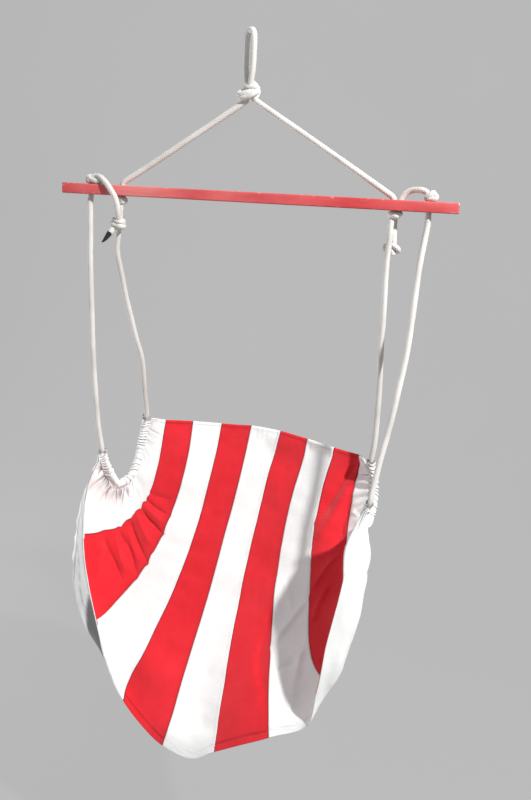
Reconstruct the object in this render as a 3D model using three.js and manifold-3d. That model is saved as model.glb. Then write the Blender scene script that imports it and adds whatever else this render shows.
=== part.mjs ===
// Hammock chair hanging from a rope eye, built as separate solids.
// Millimetres, +Z up. Origin: the inside top of the eye loop, where the chair is hung.
// +X runs along the spreader bar to the right, +Y away from the open (front) side of the seat.
// The seat hangs a little twisted and the bar is off the eye's centre, as the chair hangs when empty.
import * as THREE from "three";
import { mergeVertices } from "three/addons/utils/BufferGeometryUtils.js";
import Module from "manifold-3d";

const wasm = await Module();
wasm.setup();

// ---------------------------------------------------------------- driving dimensions
const ROPE_R = 5.5; // braided rope, 11 mm
const ROPE_SIDES = 8;
const GAP = 0.3; // between neighbouring solids

const BAR = { x: 23, z: -320, length: 840, depth: 40, height: 22, bevel: 2 };
const HOLE_R = 7;
const INNER_HOLE = 290; // from the middle of the bar
const OUTER_HOLE = 360;

const EYE = { halfWidth: 13, turn: -51, neckZ: -92.5, topZ: 5.5 };
const APEX_Z = -133.5; // axis on which the bar and its two ropes swing
const SEAT_Z = -356; // axis on which the four seat ropes swing under the bar

const CLOTH_T = 1.6; // striped cloth
const HEM_EXTRA = 1.1; // folded hem, on the inside
const HEM = 18; // hem depth
const LINING_T = 1.2;
const LINING_GAP = 0.5;
const SEAM = 0.2; // half of the gap between two stripes
const CASING_OUT = 8.8;
const CASING_IN = 6.8;
const EDGE = 10.8; // from the middle of a casing to the cloth sewn to it

const COLOUR = {
  paint: 0xd6494f,
  rope: 0xece9e2,
  red: 0xd8283a,
  white: 0xf3f3f1,
  lining: 0xe9e9e8,
  tip: 0x151515,
};

// Seat cloth: one row per half stripe, from the left casing (0) to the right one (9);
// eleven points each, from the rear hem to the front hem.
const V_ROWS = [0, 0.12, 0.25, 0.38, 0.5, 0.62, 0.74, 0.84, 0.91, 0.955, 1];
const NET = [
  [[-247,131,-860],[-256,138,-896],[-262,136,-933],[-267,126,-970],[-278,106,-1009],[-292,61,-1015],[-298,31,-986],[-303,14,-959],[-306,5,-939],[-308,0,-926],[-310,-3,-913]],
  [[-228,137,-863],[-235,136,-909],[-239,126,-957],[-245,111,-1002],[-268,98,-1044],[-298,65,-1062],[-329,28,-1044],[-349,-4,-1017],[-341,-25,-1007],[-336,-36,-1002],[-329,-48,-995]],
  [[-202,146,-866],[-207,134,-921],[-213,118,-981],[-224,97,-1038],[-250,82,-1086],[-286,57,-1121],[-330,21,-1131],[-358,-15,-1125],[-355,-48,-1117],[-343,-64,-1111],[-326,-76,-1105]],
  [[-171,154,-866],[-173,133,-931],[-181,111,-1002],[-197,87,-1071],[-223,64,-1131],[-261,40,-1183],[-307,7,-1218],[-343,-31,-1234],[-351,-72,-1222],[-330,-92,-1209],[-304,-103,-1198]],
  [[-136,160,-866],[-138,133,-937],[-149,108,-1017],[-168,80,-1095],[-191,51,-1163],[-224,24,-1228],[-265,-11,-1283],[-299,-52,-1318],[-318,-93,-1311],[-299,-114,-1299],[-271,-128,-1290]],
  [[-100,162,-866],[-105,134,-940],[-116,107,-1023],[-134,77,-1106],[-155,45,-1180],[-181,11,-1250],[-213,-30,-1311],[-240,-73,-1354],[-264,-102,-1366],[-261,-120,-1370],[-246,-141,-1372]],
  [[-63,162,-865],[-71,134,-942],[-83,106,-1028],[-98,74,-1114],[-116,40,-1191],[-137,0,-1263],[-160,-48,-1329],[-178,-94,-1379],[-195,-112,-1415],[-202,-127,-1439],[-201,-153,-1458]],
  [[-25,161,-864],[-34,132,-944],[-48,102,-1035],[-63,68,-1125],[-79,31,-1207],[-96,-13,-1284],[-112,-64,-1355],[-125,-109,-1410],[-136,-133,-1453],[-141,-149,-1482],[-146,-168,-1510]],
  [[13,158,-862],[2,127,-946],[-12,96,-1041],[-28,61,-1135],[-41,22,-1220],[-55,-24,-1301],[-69,-75,-1378],[-79,-118,-1440],[-85,-150,-1482],[-90,-169,-1509],[-97,-179,-1540]],
  [[52,152,-863],[37,122,-947],[22,91,-1041],[8,56,-1135],[-4,16,-1220],[-14,-30,-1302],[-21,-82,-1382],[-24,-126,-1448],[-24,-161,-1492],[-24,-181,-1520],[-27,-193,-1552]],
  [[89,143,-864],[72,115,-946],[57,86,-1037],[44,51,-1129],[35,12,-1211],[30,-34,-1289],[27,-86,-1363],[27,-133,-1422],[27,-165,-1462],[28,-185,-1488],[29,-203,-1516]],
  [[125,131,-867],[108,105,-945],[93,77,-1032],[82,45,-1119],[76,8,-1198],[75,-38,-1272],[78,-91,-1339],[80,-139,-1391],[81,-172,-1429],[84,-192,-1453],[90,-212,-1480]],
  [[161,117,-870],[144,92,-944],[129,66,-1027],[120,36,-1110],[117,1,-1185],[119,-43,-1255],[126,-94,-1320],[133,-142,-1370],[140,-177,-1403],[145,-199,-1424],[150,-219,-1446]],
  [[195,102,-873],[177,79,-943],[164,54,-1023],[158,26,-1102],[158,-9,-1173],[162,-47,-1242],[173,-96,-1307],[192,-141,-1357],[217,-178,-1382],[226,-206,-1391],[221,-225,-1401]],
  [[227,85,-875],[209,65,-942],[198,42,-1017],[195,15,-1092],[198,-20,-1157],[205,-53,-1222],[213,-99,-1278],[237,-142,-1316],[268,-178,-1325],[268,-205,-1320],[241,-218,-1314]],
  [[257,66,-876],[243,50,-938],[234,30,-1007],[231,4,-1074],[236,-29,-1131],[247,-60,-1187],[263,-109,-1218],[288,-155,-1233],[302,-189,-1230],[291,-206,-1221],[257,-210,-1210]],
  [[282,47,-877],[276,36,-933],[269,20,-992],[266,-4,-1049],[270,-35,-1095],[284,-67,-1135],[307,-119,-1138],[322,-165,-1129],[312,-195,-1120],[292,-199,-1113],[275,-200,-1108]],
  [[302,30,-878],[304,25,-924],[301,13,-972],[298,-8,-1017],[299,-37,-1050],[302,-69,-1071],[318,-116,-1052],[323,-155,-1028],[293,-176,-1015],[281,-176,-1011],[291,-179,-1009]],
  [[313,18,-878],[322,19,-911],[326,13,-947],[326,-5,-978],[320,-32,-998],[314,-65,-996],[311,-93,-978],[312,-111,-956],[315,-121,-939],[317,-127,-928],[320,-134,-918]],
];

// Ropes between the bar and the seat, from the swing axis down to the seat's corner.
const REAR_LEFT = [
  [-271, 0, -356], [-274, 5, -374], [-278, 10, -393], [-282, 16, -417], [-287, 24, -449], [-282, 37, -498],
  [-276, 51, -551], [-266, 66, -610], [-258, 78, -656], [-249, 89, -698], [-247, 102, -746], [-247, 118, -807],
  [-246, 127, -840],
];
const FRONT_LEFT = [
  [-340, 0, -356], [-340, 0, -384], [-340, 0, -442], [-339, -1, -512], [-337, -1, -572], [-334, -1, -663],
  [-330, -2, -732], [-325, -2, -803], [-319, -2, -862], [-314, -2, -892],
];
const REAR_RIGHT = [
  [310, 0, -356], [310, 1, -382], [308.5, 3, -429], [309, 4, -483], [311, 7, -547], [312, 9, -617],
  [315, 11, -677], [317, 14, -756], [317, 16, -814], [315, 17, -852],
];
const FRONT_RIGHT = [
  [384, 0, -356], [382, -5, -378], [376, -19, -436], [373, -33, -496], [370, -48, -558], [366, -62, -618],
  [358, -77, -679], [350, -91, -737], [340, -104, -793], [333, -113, -830], [327, -122, -870], [323, -129, -897],
];
const TAIL_LEFT = [
  [-323, -5.5, -292.8], [-312.5, -14, -294.5], [-297, -24.5, -303.5], [-284.7, -28, -317], [-276.5, -28.5, -329],
  [-271.2, -28, -341], [-268.6, -27, -353], [-268.2, -23.5, -366.5], [-270, -17, -379], [-271.5, -11, -386],
];
const TAIL_RIGHT = [
  [373, 8.5, -289.5], [366, 12.5, -285.6], [357.9, 18, -284.3], [346.5, 25, -285.7], [336.5, 28, -291.9],
  [329.2, 28.8, -300.7], [324.2, 28.5, -313], [319.6, 27.5, -327.4], [317, 26, -343.7], [316.8, 23, -359.9],
  [317.7, 19.5, -376.1], [318.6, 16, -390], [318.8, 15.2, -394],
];

// ---------------------------------------------------------------- small tools
const v3 = (p) => new THREE.Vector3(p[0], p[1], p[2]);
const rad = THREE.MathUtils.degToRad;

function bare(geometry) {
  const g = geometry.clone();
  for (const k of Object.keys(g.attributes)) if (k !== "position") g.deleteAttribute(k);
  return mergeVertices(g, 1e-4);
}
function toSolid(geometry) {
  const g = bare(geometry);
  return new wasm.Manifold(
    new wasm.Mesh({
      numProp: 3,
      vertProperties: new Float32Array(g.attributes.position.array),
      triVerts: new Uint32Array(g.index.array),
    }),
  );
}
function toGeometry(solid) {
  const m = solid.getMesh(),
    n = m.numProp,
    pos = new Float32Array(m.numVert * 3);
  for (let i = 0; i < m.numVert; i++) pos.set(m.vertProperties.subarray(i * n, i * n + 3), i * 3);
  const g = new THREE.BufferGeometry();
  g.setAttribute("position", new THREE.BufferAttribute(pos, 3));
  g.setIndex(new THREE.BufferAttribute(new Uint32Array(m.triVerts), 1));
  g.computeVertexNormals();
  return g;
}
const joined = (list) => toGeometry(list.map(toSolid).reduce((a, b) => a.add(b)));

function ring(radius, sides) {
  const pts = [];
  for (let i = 0; i < sides; i++) {
    const a = ((i + 0.5) * 2 * Math.PI) / sides;
    pts.push(new THREE.Vector2(radius * Math.cos(a), radius * Math.sin(a)));
  }
  return pts;
}
// A round bar of rope or a hollow casing along a curve, with a section at each station: a number
// of equal steps, or a list of fractions of the curve's length, close together where it bends.
class Stations extends THREE.Curve {
  constructor(base, at) {
    super();
    this.base = base;
    this.at = at;
  }
  where(u) {
    const s = THREE.MathUtils.clamp(u, 0, 1) * (this.at.length - 1),
      k = Math.min(Math.floor(s), this.at.length - 2);
    return this.at[k] + (this.at[k + 1] - this.at[k]) * (s - k);
  }
  getPointAt(u, target) {
    return this.base.getPointAt(this.where(u), target);
  }
  getTangentAt(u, target) {
    return this.base.getTangentAt(this.where(u), target);
  }
}
function tube(curve, stations, radius = ROPE_R, sides = ROPE_SIDES, inner = 0) {
  const shape = new THREE.Shape(ring(radius, sides));
  if (inner) shape.holes.push(new THREE.Path(ring(inner, sides).reverse()));
  const list = Array.isArray(stations),
    steps = list ? stations.length - 1 : stations;
  return new THREE.ExtrudeGeometry(shape, {
    steps,
    bevelEnabled: false,
    extrudePath: list ? new Stations(curve, stations) : curve,
  });
}
const spline = (pts) => new THREE.CatmullRomCurve3(pts.map((p) => (p.isVector3 ? p : v3(p))), false, "centripetal");

// A stretch of a longer curve, between two distances along it.
class Stretch extends THREE.Curve {
  constructor(base, from, to) {
    super();
    this.base = base;
    this.a = from / base.getLength();
    this.b = to / base.getLength();
  }
  getPoint(t, target = new THREE.Vector3()) {
    return this.base.getPointAt(THREE.MathUtils.clamp(this.a + (this.b - this.a) * t, 0, 1), target);
  }
}
// Rope end rounded on the swing axis, so that it can turn there without touching what is above.
function pivoted(geometry, centre) {
  const ball = new THREE.SphereGeometry(ROPE_R * 0.985, 8, 6);
  ball.translate(centre[0], centre[1], centre[2]);
  return joined([geometry, ball]);
}

// ---------------------------------------------------------------- seat surface
const cubic = (p0, p1, m0, m1, t) => {
  const t2 = t * t,
    t3 = t2 * t;
  return (2 * t3 - 3 * t2 + 1) * p0 + (t3 - 2 * t2 + t) * m0 + (3 * t2 - 2 * t3) * p1 + (t3 - t2) * m1;
};
function columnPoint(i, v) {
  const c = NET[i],
    n = V_ROWS.length;
  let k = 0;
  while (k < n - 2 && v > V_ROWS[k + 1]) k++;
  const h = V_ROWS[k + 1] - V_ROWS[k],
    t = (v - V_ROWS[k]) / h;
  const slope = (j, a) => {
    if (j === 0) return (c[1][a] - c[0][a]) / (V_ROWS[1] - V_ROWS[0]);
    if (j === n - 1) return (c[n - 1][a] - c[n - 2][a]) / (V_ROWS[n - 1] - V_ROWS[n - 2]);
    const h0 = V_ROWS[j] - V_ROWS[j - 1],
      h1 = V_ROWS[j + 1] - V_ROWS[j];
    return (((c[j][a] - c[j - 1][a]) / h0) * h1 + ((c[j + 1][a] - c[j][a]) / h1) * h0) / (h0 + h1);
  };
  return [0, 1, 2].map((a) => cubic(c[k][a], c[k + 1][a], slope(k, a) * h, slope(k + 1, a) * h, t));
}
function surf(u, v) {
  const s = THREE.MathUtils.clamp(u * 2, 0, 18),
    k = Math.min(Math.floor(s), 17),
    t = s - k;
  const p = [k - 1, k, k + 1, k + 2].map((i) => columnPoint(THREE.MathUtils.clamp(i, 0, 18), v));
  if (k === 0) p[0] = p[1].map((x, a) => 2 * x - p[2][a]);
  if (k === 17) p[3] = p[2].map((x, a) => 2 * x - p[1][a]);
  return v3([0, 1, 2].map((a) => cubic(p[1][a], p[2][a], (p[2][a] - p[0][a]) / 2, (p[3][a] - p[1][a]) / 2, t)));
}
const inV = (v) => THREE.MathUtils.clamp(v, 0, 1);
const alongV = (u, v) => surf(u, inV(v + 0.004)).sub(surf(u, inV(v - 0.004)));
const alongU = (u, v) => surf(Math.min(u + 0.02, 9), v).sub(surf(Math.max(u - 0.02, 0), v));
function columnLength(u) {
  let d = 0;
  for (let i = 0; i < 40; i++) d += surf(u, i / 40).distanceTo(surf(u, (i + 1) / 40));
  return d;
}
// Point and inward normal of the cloth; side is -1 or 1 at a seam, which leaves its gap.
function clothPoint(u, v, side = 0) {
  if (u === 0 || u === 9) {
    const c = surf(u, v),
      t = alongV(u, v).normalize(),
      d = surf(u === 0 ? 0.5 : 8.5, v).sub(c);
    d.addScaledVector(t, -d.dot(t)).normalize();
    const n = u === 0 ? t.clone().cross(d) : d.clone().cross(t);
    return { p: c.addScaledVector(d, EDGE), n: n.normalize() };
  }
  const du = alongU(u, v).normalize(),
    n = alongV(u, v).cross(du).normalize();
  return { p: surf(u, v).addScaledVector(du, side * SEAM), n };
}
// Closed sheet over a grid of cloth points: up and down give its two faces.
function sheet(cols, up, down) {
  const nu = cols.length,
    nv = cols[0].length,
    pos = [],
    tri = [];
  const put = (i, j, off) => {
    const q = cols[i][j],
      p = q.p.clone().addScaledVector(q.n, off);
    pos.push(p.x, p.y, p.z);
  };
  for (let i = 0; i < nu; i++) for (let j = 0; j < nv; j++) put(i, j, up(j, nv));
  for (let i = 0; i < nu; i++) for (let j = 0; j < nv; j++) put(i, j, down(j, nv));
  const T = (i, j) => i * nv + j,
    B = (i, j) => nu * nv + i * nv + j;
  for (let i = 0; i < nu - 1; i++)
    for (let j = 0; j < nv - 1; j++) {
      tri.push(T(i, j), T(i, j + 1), T(i + 1, j + 1), T(i, j), T(i + 1, j + 1), T(i + 1, j));
      tri.push(B(i, j), B(i + 1, j + 1), B(i, j + 1), B(i, j), B(i + 1, j), B(i + 1, j + 1));
    }
  const rim = [];
  for (let j = 0; j < nv - 1; j++) rim.push([0, j]);
  for (let i = 0; i < nu - 1; i++) rim.push([i, nv - 1]);
  for (let j = nv - 1; j > 0; j--) rim.push([nu - 1, j]);
  for (let i = nu - 1; i > 0; i--) rim.push([i, 0]);
  rim.forEach(([i, j], k) => {
    const [a, b] = rim[(k + 1) % rim.length];
    tri.push(T(a, b), T(i, j), B(i, j), T(a, b), B(i, j), B(a, b));
  });
  const g = new THREE.BufferGeometry();
  g.setAttribute("position", new THREE.Float32BufferAttribute(pos, 3));
  g.setIndex(tri);
  g.computeVertexNormals();
  return g;
}
// Rows across the seat, closer together where the two side casings turn.
const PLACES = [0.11, 0.215, 0.315, 0.4, 0.475, 0.54, 0.605, 0.675, 0.755, 0.84, 0.92];
function rows(u, first, last) {
  const h = HEM / columnLength(u),
    out = [first, first + h];
  for (const f of PLACES) out.push(first + h + (last - first - 2 * h) * f);
  out.push(last - h, last);
  return out;
}
function clothColumns(us, sides, first, last) {
  return us.map((u, i) => rows(u, first, last).map((v) => clothPoint(u, v, sides[i])));
}

// ---------------------------------------------------------------- knots
function band(radius, thick, at, turn) {
  const g = new THREE.TorusGeometry(radius, thick, 6, 9);
  g.rotateX(rad(turn[0]));
  g.rotateY(rad(turn[1]));
  g.rotateZ(rad(turn[2]));
  g.translate(at[0], at[1], at[2]);
  return g;
}
function lump(rx, ry, rz, at) {
  const g = new THREE.SphereGeometry(1, 8, 6);
  g.scale(rx, ry, rz);
  g.translate(at[0], at[1], at[2]);
  return g;
}
const straight = (a, b, r = ROPE_R, sides = ROPE_SIDES) => tube(new THREE.LineCurve3(v3(a), v3(b)), 1, r, sides);
// Collar-shaped knot tied round a rope that runs through it.
function collar(outer, height, centre, direction) {
  const h = height / 2,
    inner = ROPE_R + 0.7,
    pts = [
      [inner, -h + 2],
      [inner + 2, -h],
      [outer - 3, -h],
      [outer, -h + 4],
      [outer - 0.8, 0],
      [outer, h - 4],
      [outer - 3, h],
      [inner + 2, h],
      [inner, h - 2],
      [inner, -h + 2],
    ].map((p) => new THREE.Vector2(p[0], p[1]));
  const g = new THREE.LatheGeometry(pts, 10);
  g.applyQuaternion(new THREE.Quaternion().setFromUnitVectors(new THREE.Vector3(0, 1, 0), direction.clone().normalize()));
  g.translate(centre[0], centre[1], centre[2]);
  return g;
}

// ---------------------------------------------------------------- the parts
const chair = new THREE.Group();
function add(group, name, geometry, colour, roughness, metalness = 0) {
  const mesh = new THREE.Mesh(geometry, new THREE.MeshStandardMaterial({ color: colour, roughness, metalness }));
  mesh.name = name;
  group.add(mesh);
  return mesh;
}
const ropes = new THREE.Group(),
  seat = new THREE.Group();
chair.add(ropes, seat);
const rope = (name, g) => add(ropes, name, g, COLOUR.rope, 0.9);

// Spreader bar: painted wood, four upright holes.
{
  const b = BAR.bevel,
    hy = BAR.depth / 2 - b,
    hz = BAR.height / 2 - b,
    r = 2;
  const s = new THREE.Shape();
  s.moveTo(-hy + r, -hz);
  s.lineTo(hy - r, -hz);
  s.lineTo(hy, -hz + r);
  s.lineTo(hy, hz - r);
  s.lineTo(hy - r, hz);
  s.lineTo(-hy + r, hz);
  s.lineTo(-hy, hz - r);
  s.lineTo(-hy, -hz + r);
  s.closePath();
  const g = new THREE.ExtrudeGeometry(s, {
    depth: BAR.length - 2 * b,
    steps: 1,
    bevelEnabled: true,
    bevelThickness: b,
    bevelSize: b,
    bevelSegments: 1,
  });
  g.translate(0, 0, -BAR.length / 2 + b);
  g.rotateY(Math.PI / 2); // extrusion along X
  g.rotateX(Math.PI / 2); // section's long side along Y
  let bar = toSolid(g);
  for (const x of [-OUTER_HOLE, -INNER_HOLE, INNER_HOLE, OUTER_HOLE]) {
    const h = new THREE.CylinderGeometry(HOLE_R, HOLE_R, 3 * BAR.height, 16);
    h.rotateX(Math.PI / 2);
    h.translate(x, 0, 0);
    bar = bar.subtract(toSolid(h));
  }
  const mesh = add(chair, "spreader_bar", toGeometry(bar), COLOUR.paint, 0.4);
  mesh.position.set(BAR.x, 0, BAR.z);
}
const barTop = BAR.z + BAR.height / 2,
  barFoot = BAR.z - BAR.height / 2;

// Eye loop: the bight above the apex knot, turned about the vertical.
{
  const c = Math.cos(rad(EYE.turn)),
    s = Math.sin(rad(EYE.turn)),
    w = EYE.halfWidth,
    half = [
      [6.5, EYE.neckZ],
      [8.5, -82.5],
      [11.6, -66],
      [w, -44],
      [w - 0.2, -24],
      [w - 1.2, -10],
      [9, -1.2],
      [5, 3.8],
    ];
  const pts = [
    ...half.map(([a, z]) => [-a * c, -a * s, z]),
    [0, 0, EYE.topZ],
    ...half.reverse().map(([a, z]) => [a * c, a * s, z]),
  ];
  rope("eye_loop", tube(spline(pts), 20));
}

// Apex knot, with the two short ends that leave it towards the bar.
rope(
  "apex_knot",
  joined([
    lump(15, 12.5, 13.5, [-1, 0, -110.5]),
    band(11.5, ROPE_R, [-7, -2, -113], [72, 24, 0]),
    band(9.5, ROPE_R, [5, 2, -107.5], [55, -38, 0]),
    straight([4, 0, -124.5], [-4.66, 0, -130.25]),
    straight([3, 0, -120.7], [19.8, 0, -130.55]),
  ]),
);

// Ropes from the apex through the bar's inner holes.
for (const [side, start, ends] of [
  ["left", [-9.5, 0, APEX_Z], [[-78, 0, -179.5], [-161, 0, -235], [-237, 0, -285.2], [-257.5, 0, -297.9], [-264.3, 0, -303.8], [-266.8, 0, -311], [-267, 0, -320], [-267, 0, barFoot]]],
  ["right", [24.8, 0, APEX_Z], [[89, 0, -171.3], [165, 0, -215.8], [239, 0, -259.2], [302.6, 0, -296.6], [309.8, 0, -302.6], [312.7, 0, -310.4], [313, 0, -320], [313, 0, barFoot]]],
]) {
  rope("top_rope_" + side, pivoted(tube(spline([start, ...ends]), [0, 0.3, 0.6, 0.88, 0.905, 0.925, 0.94, 0.955, 0.975, 1]), start));
}
// Stopper knots under the inner holes.
rope(
  "inner_stopper_knot_left",
  joined([
    lump(8.5, 8.5, 9.1, [-267.5, 0, -340.6]),
    band(6, 4.6, [-267.5, 0, -337.2], [8, 12, 0]),
    band(5.4, 4.3, [-268.2, 0, -344.3], [-10, -10, 0]),
  ]),
);
rope(
  "inner_stopper_knot_right",
  joined([
    lump(10, 9, 8, [314, 0, -339.6]),
    band(10, ROPE_R * 0.94, [315, 0, -338.8], [7, 11, 0]),
    band(7.5, 4.1, [314, 1, -343.6], [-8, -6, 0]),
  ]),
);
// Stopper knots on the bar over the outer holes, and the rope down through those holes.
for (const [side, x, k] of [
  ["left", BAR.x - OUTER_HOLE, -1],
  ["right", BAR.x + OUTER_HOLE, 1],
]) {
  const m = k === 1 ? 1 : -1;
  rope(
    "outer_stopper_knot_" + side,
    joined([
      lump(10, 9.5, 9.2, [x + 0.8 * m, 0, -299]),
      band(6.8, ROPE_R * 0.95, [x - 1.2, -1 * m, -302.4], [6, 8 * m, 0]),
      band(5.6, 4.9, [x + 2 * m, 1, -296.4], [34, -52 * m, 0]),
    ]),
  );
  rope("outer_hole_rope_" + side, straight([x, 0, barTop], [x, 0, SEAT_Z + ROPE_R + GAP]));
}

// Seat ropes: each side is one run from the rear swing point, down, through the casing and up to the front one.
for (const [side, u, rear, front] of [
  ["left", 0, REAR_LEFT, FRONT_LEFT],
  ["right", 9, REAR_RIGHT, FRONT_RIGHT],
]) {
  const inCasing = [];
  for (let i = 0; i <= 14; i++) inCasing.push(surf(u, i / 14));
  const run = spline([...rear.map(v3), ...inCasing, ...front.slice().reverse().map(v3)]);
  run.arcLengthDivisions = 1200;
  run.updateArcLengths();
  const whole = run.getLength();
  const near = (p) => {
    let best = 0,
      d = Infinity;
    for (let i = 0; i <= 2400; i++) {
      const e = run.getPointAt(i / 2400).distanceTo(p);
      if (e < d) {
        d = e;
        best = (i / 2400) * whole;
      }
    }
    return best;
  };
  const a = near(surf(u, 0)) - 5,
    b = near(surf(u, 1)) + 5;
  rope("rear_rope_" + side, pivoted(tube(new Stretch(run, 0, a), 15), rear[0]));
  // The rope in the casing and the casing round it have their sections at the same places.
  const lip = 6 / (b - a),
    at = [lip];
  for (let i = 1; i < 17; i++) at.push(lip + ((1 - 2 * lip) * i) / 16);
  const hidden = new Stretch(run, a + GAP, b - GAP);
  rope("casing_rope_" + side, tube(hidden, [0, ...at, 1]));
  rope("front_rope_" + side, pivoted(tube(new Stretch(run, b, whole), 10), front[0]));
  add(seat, "rope_casing_" + side, tube(hidden, at, CASING_OUT, 8, CASING_IN), COLOUR.white, 0.95);
}

// Closing knots: the tails are tied round the rear ropes with them.
rope("closing_knot_left", collar(12.5, 22, [-278, 10, -393], new THREE.Vector3(-8, 11, -43)));
rope("closing_knot_right", collar(13, 16, [309.2, 2, -404], new THREE.Vector3(-1.5, 2, -47)));

// Tails from the outer stopper knots to the closing knots: the left one passes in front of the bar, the right one behind it.
rope("tail_left", tube(spline(TAIL_LEFT), 16));
rope("tail_right", tube(spline(TAIL_RIGHT), 20));
rope("rope_end_left", tube(spline([[-281.5, -4, -396.6], [-283.4, -10.5, -399.6], [-285, -14.5, -404], [-288.4, -16.6, -409.2]]), 5));
rope("rope_end_right", straight([315.6, 11.3, -412.8], [313.5, 13.2, -421.5], 4.6));
{
  // Taped, tapering end of the left tail.
  const from = v3([-289.15, -16.9, -410.2]),
    to = v3([-303.8, -21.4, -430]),
    len = from.distanceTo(to);
  const g = new THREE.LatheGeometry(
    [
      [0, 0],
      [5.4, 0],
      [5.6, 3],
      [4.7, len * 0.55],
      [3.1, len * 0.88],
      [1.6, len],
      [0, len],
    ].map((p) => new THREE.Vector2(p[0], p[1])),
    10,
  );
  g.applyQuaternion(new THREE.Quaternion().setFromUnitVectors(new THREE.Vector3(0, 1, 0), to.clone().sub(from).normalize()));
  g.translate(from.x, from.y, from.z);
  add(ropes, "taped_tip_left", g, COLOUR.tip, 0.35);
}

// Nine tapered stripes sewn side by side, thicker along both hems, over one white outer lining.
const upper = (j, n) => CLOTH_T / 2 + (j <= 1 || j >= n - 2 ? HEM_EXTRA : 0);
for (let s = 0; s < 9; s++) {
  const us = s === 0 ? [0, 0.34, 0.67, 1] : s === 8 ? [8, 8.33, 8.66, 9] : [s, s + 0.33, s + 0.67, s + 1];
  const white = s % 2 === 0;
  add(
    seat,
    "stripe_" + (s + 1) + (white ? "_white" : "_red"),
    sheet(clothColumns(us, [1, 0, 0, -1], 0, 1), upper, () => -CLOTH_T / 2),
    white ? COLOUR.white : COLOUR.red,
    0.95,
  );
}
{
  const us = [0, 0.34, 0.67];
  for (let s = 1; s < 8; s++) us.push(s, s + 0.33, s + 0.67);
  us.push(8, 8.33, 8.66, 9);
  const top = -CLOTH_T / 2 - LINING_GAP;
  add(
    seat,
    "outer_lining",
    sheet(clothColumns(us, us.map(() => 0), 0, 1), () => top, () => top - LINING_T),
    COLOUR.lining,
    0.95,
  );
}

export default chair;
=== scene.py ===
# Hammock chair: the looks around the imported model. Metres, +Z up, origin at the inside top of the rope eye.
import math

import bmesh
import bpy
import numpy as np
from mathutils import Matrix, Vector


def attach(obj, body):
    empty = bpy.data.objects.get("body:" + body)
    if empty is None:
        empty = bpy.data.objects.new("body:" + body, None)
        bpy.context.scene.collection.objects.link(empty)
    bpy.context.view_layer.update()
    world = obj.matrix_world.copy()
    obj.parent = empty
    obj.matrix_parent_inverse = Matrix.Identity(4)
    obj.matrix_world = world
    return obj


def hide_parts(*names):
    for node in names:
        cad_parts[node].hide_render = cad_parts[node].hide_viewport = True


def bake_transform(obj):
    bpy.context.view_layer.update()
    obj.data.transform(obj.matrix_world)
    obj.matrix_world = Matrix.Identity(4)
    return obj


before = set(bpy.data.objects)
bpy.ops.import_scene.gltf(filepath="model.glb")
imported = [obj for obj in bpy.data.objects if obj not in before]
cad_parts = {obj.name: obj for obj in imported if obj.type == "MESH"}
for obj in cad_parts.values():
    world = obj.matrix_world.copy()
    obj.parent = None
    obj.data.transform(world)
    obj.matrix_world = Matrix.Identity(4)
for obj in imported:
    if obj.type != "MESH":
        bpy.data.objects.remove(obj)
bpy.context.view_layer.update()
COLL = bpy.context.scene.collection
MM = 0.001
BAR_X, BAR_Z, BAR_L, BAR_D, BAR_H = 23.0, -320.0, 840.0, 40.0, 22.0
ROPE_R = 5.5


# ------------------------------------------------------------------ camera
def make_camera():
    a, p, r = math.radians(9.199), math.radians(14.132), math.radians(3.07)
    fh = np.array([-math.sin(a), math.cos(a), 0.0])
    rh = np.array([math.cos(a), math.sin(a), 0.0])
    z = np.array([0.0, 0.0, 1.0])
    look = fh * math.cos(p) - z * math.sin(p)
    up0 = fh * math.sin(p) + z * math.cos(p)
    right = math.cos(r) * rh + math.sin(r) * up0
    up = -math.sin(r) * rh + math.cos(r) * up0
    data = bpy.data.cameras.new("camera")
    data.lens, data.sensor_width = 36.0, 36.0
    data.clip_start, data.clip_end = 0.05, 60.0
    cam = bpy.data.objects.new("camera", data)
    COLL.objects.link(cam)
    m = Matrix.Identity(4)
    for k in range(3):
        m[k][0], m[k][1], m[k][2] = right[k], up[k], -look[k]
    m[0][3], m[1][3], m[2][3] = 0.34469, -1.70138, -0.320
    cam.matrix_world = m
    # picture centre: 265.5, 400 in a frame of 531 by 800
    bpy.context.scene.camera = cam


make_camera()


# ------------------------------------------------------------------ small tools
def mesh_object(name, verts, faces, mats=(), uv=None, face_mats=None, smooth=True):
    me = bpy.data.meshes.new(name)
    verts = np.asarray(verts, np.float32).reshape(-1, 3)
    quads = np.asarray(faces, np.int32)
    if quads.ndim == 2:
        n, k = quads.shape
        me.vertices.add(len(verts))
        me.vertices.foreach_set("co", verts.ravel())
        me.loops.add(n * k)
        me.loops.foreach_set("vertex_index", quads.ravel())
        me.polygons.add(n)
        me.polygons.foreach_set("loop_start", np.arange(0, n * k, k, dtype=np.int32))
        me.update(calc_edges=True)
    else:
        me.from_pydata(verts.tolist(), [], faces)
        me.update()
    if smooth:
        me.polygons.foreach_set("use_smooth", np.ones(len(me.polygons), bool))
    for m in mats:
        me.materials.append(m)
    if face_mats is not None:
        me.polygons.foreach_set("material_index", np.asarray(face_mats, np.int32))
    if uv is not None:
        layer = me.uv_layers.new(name="UVMap")
        idx = np.zeros(len(me.loops), np.int32)
        me.loops.foreach_get("vertex_index", idx)
        layer.data.foreach_set("uv", np.asarray(uv, np.float32)[idx].ravel())
    me.validate()
    ob = bpy.data.objects.new(name, me)
    COLL.objects.link(ob)
    return ob


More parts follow.
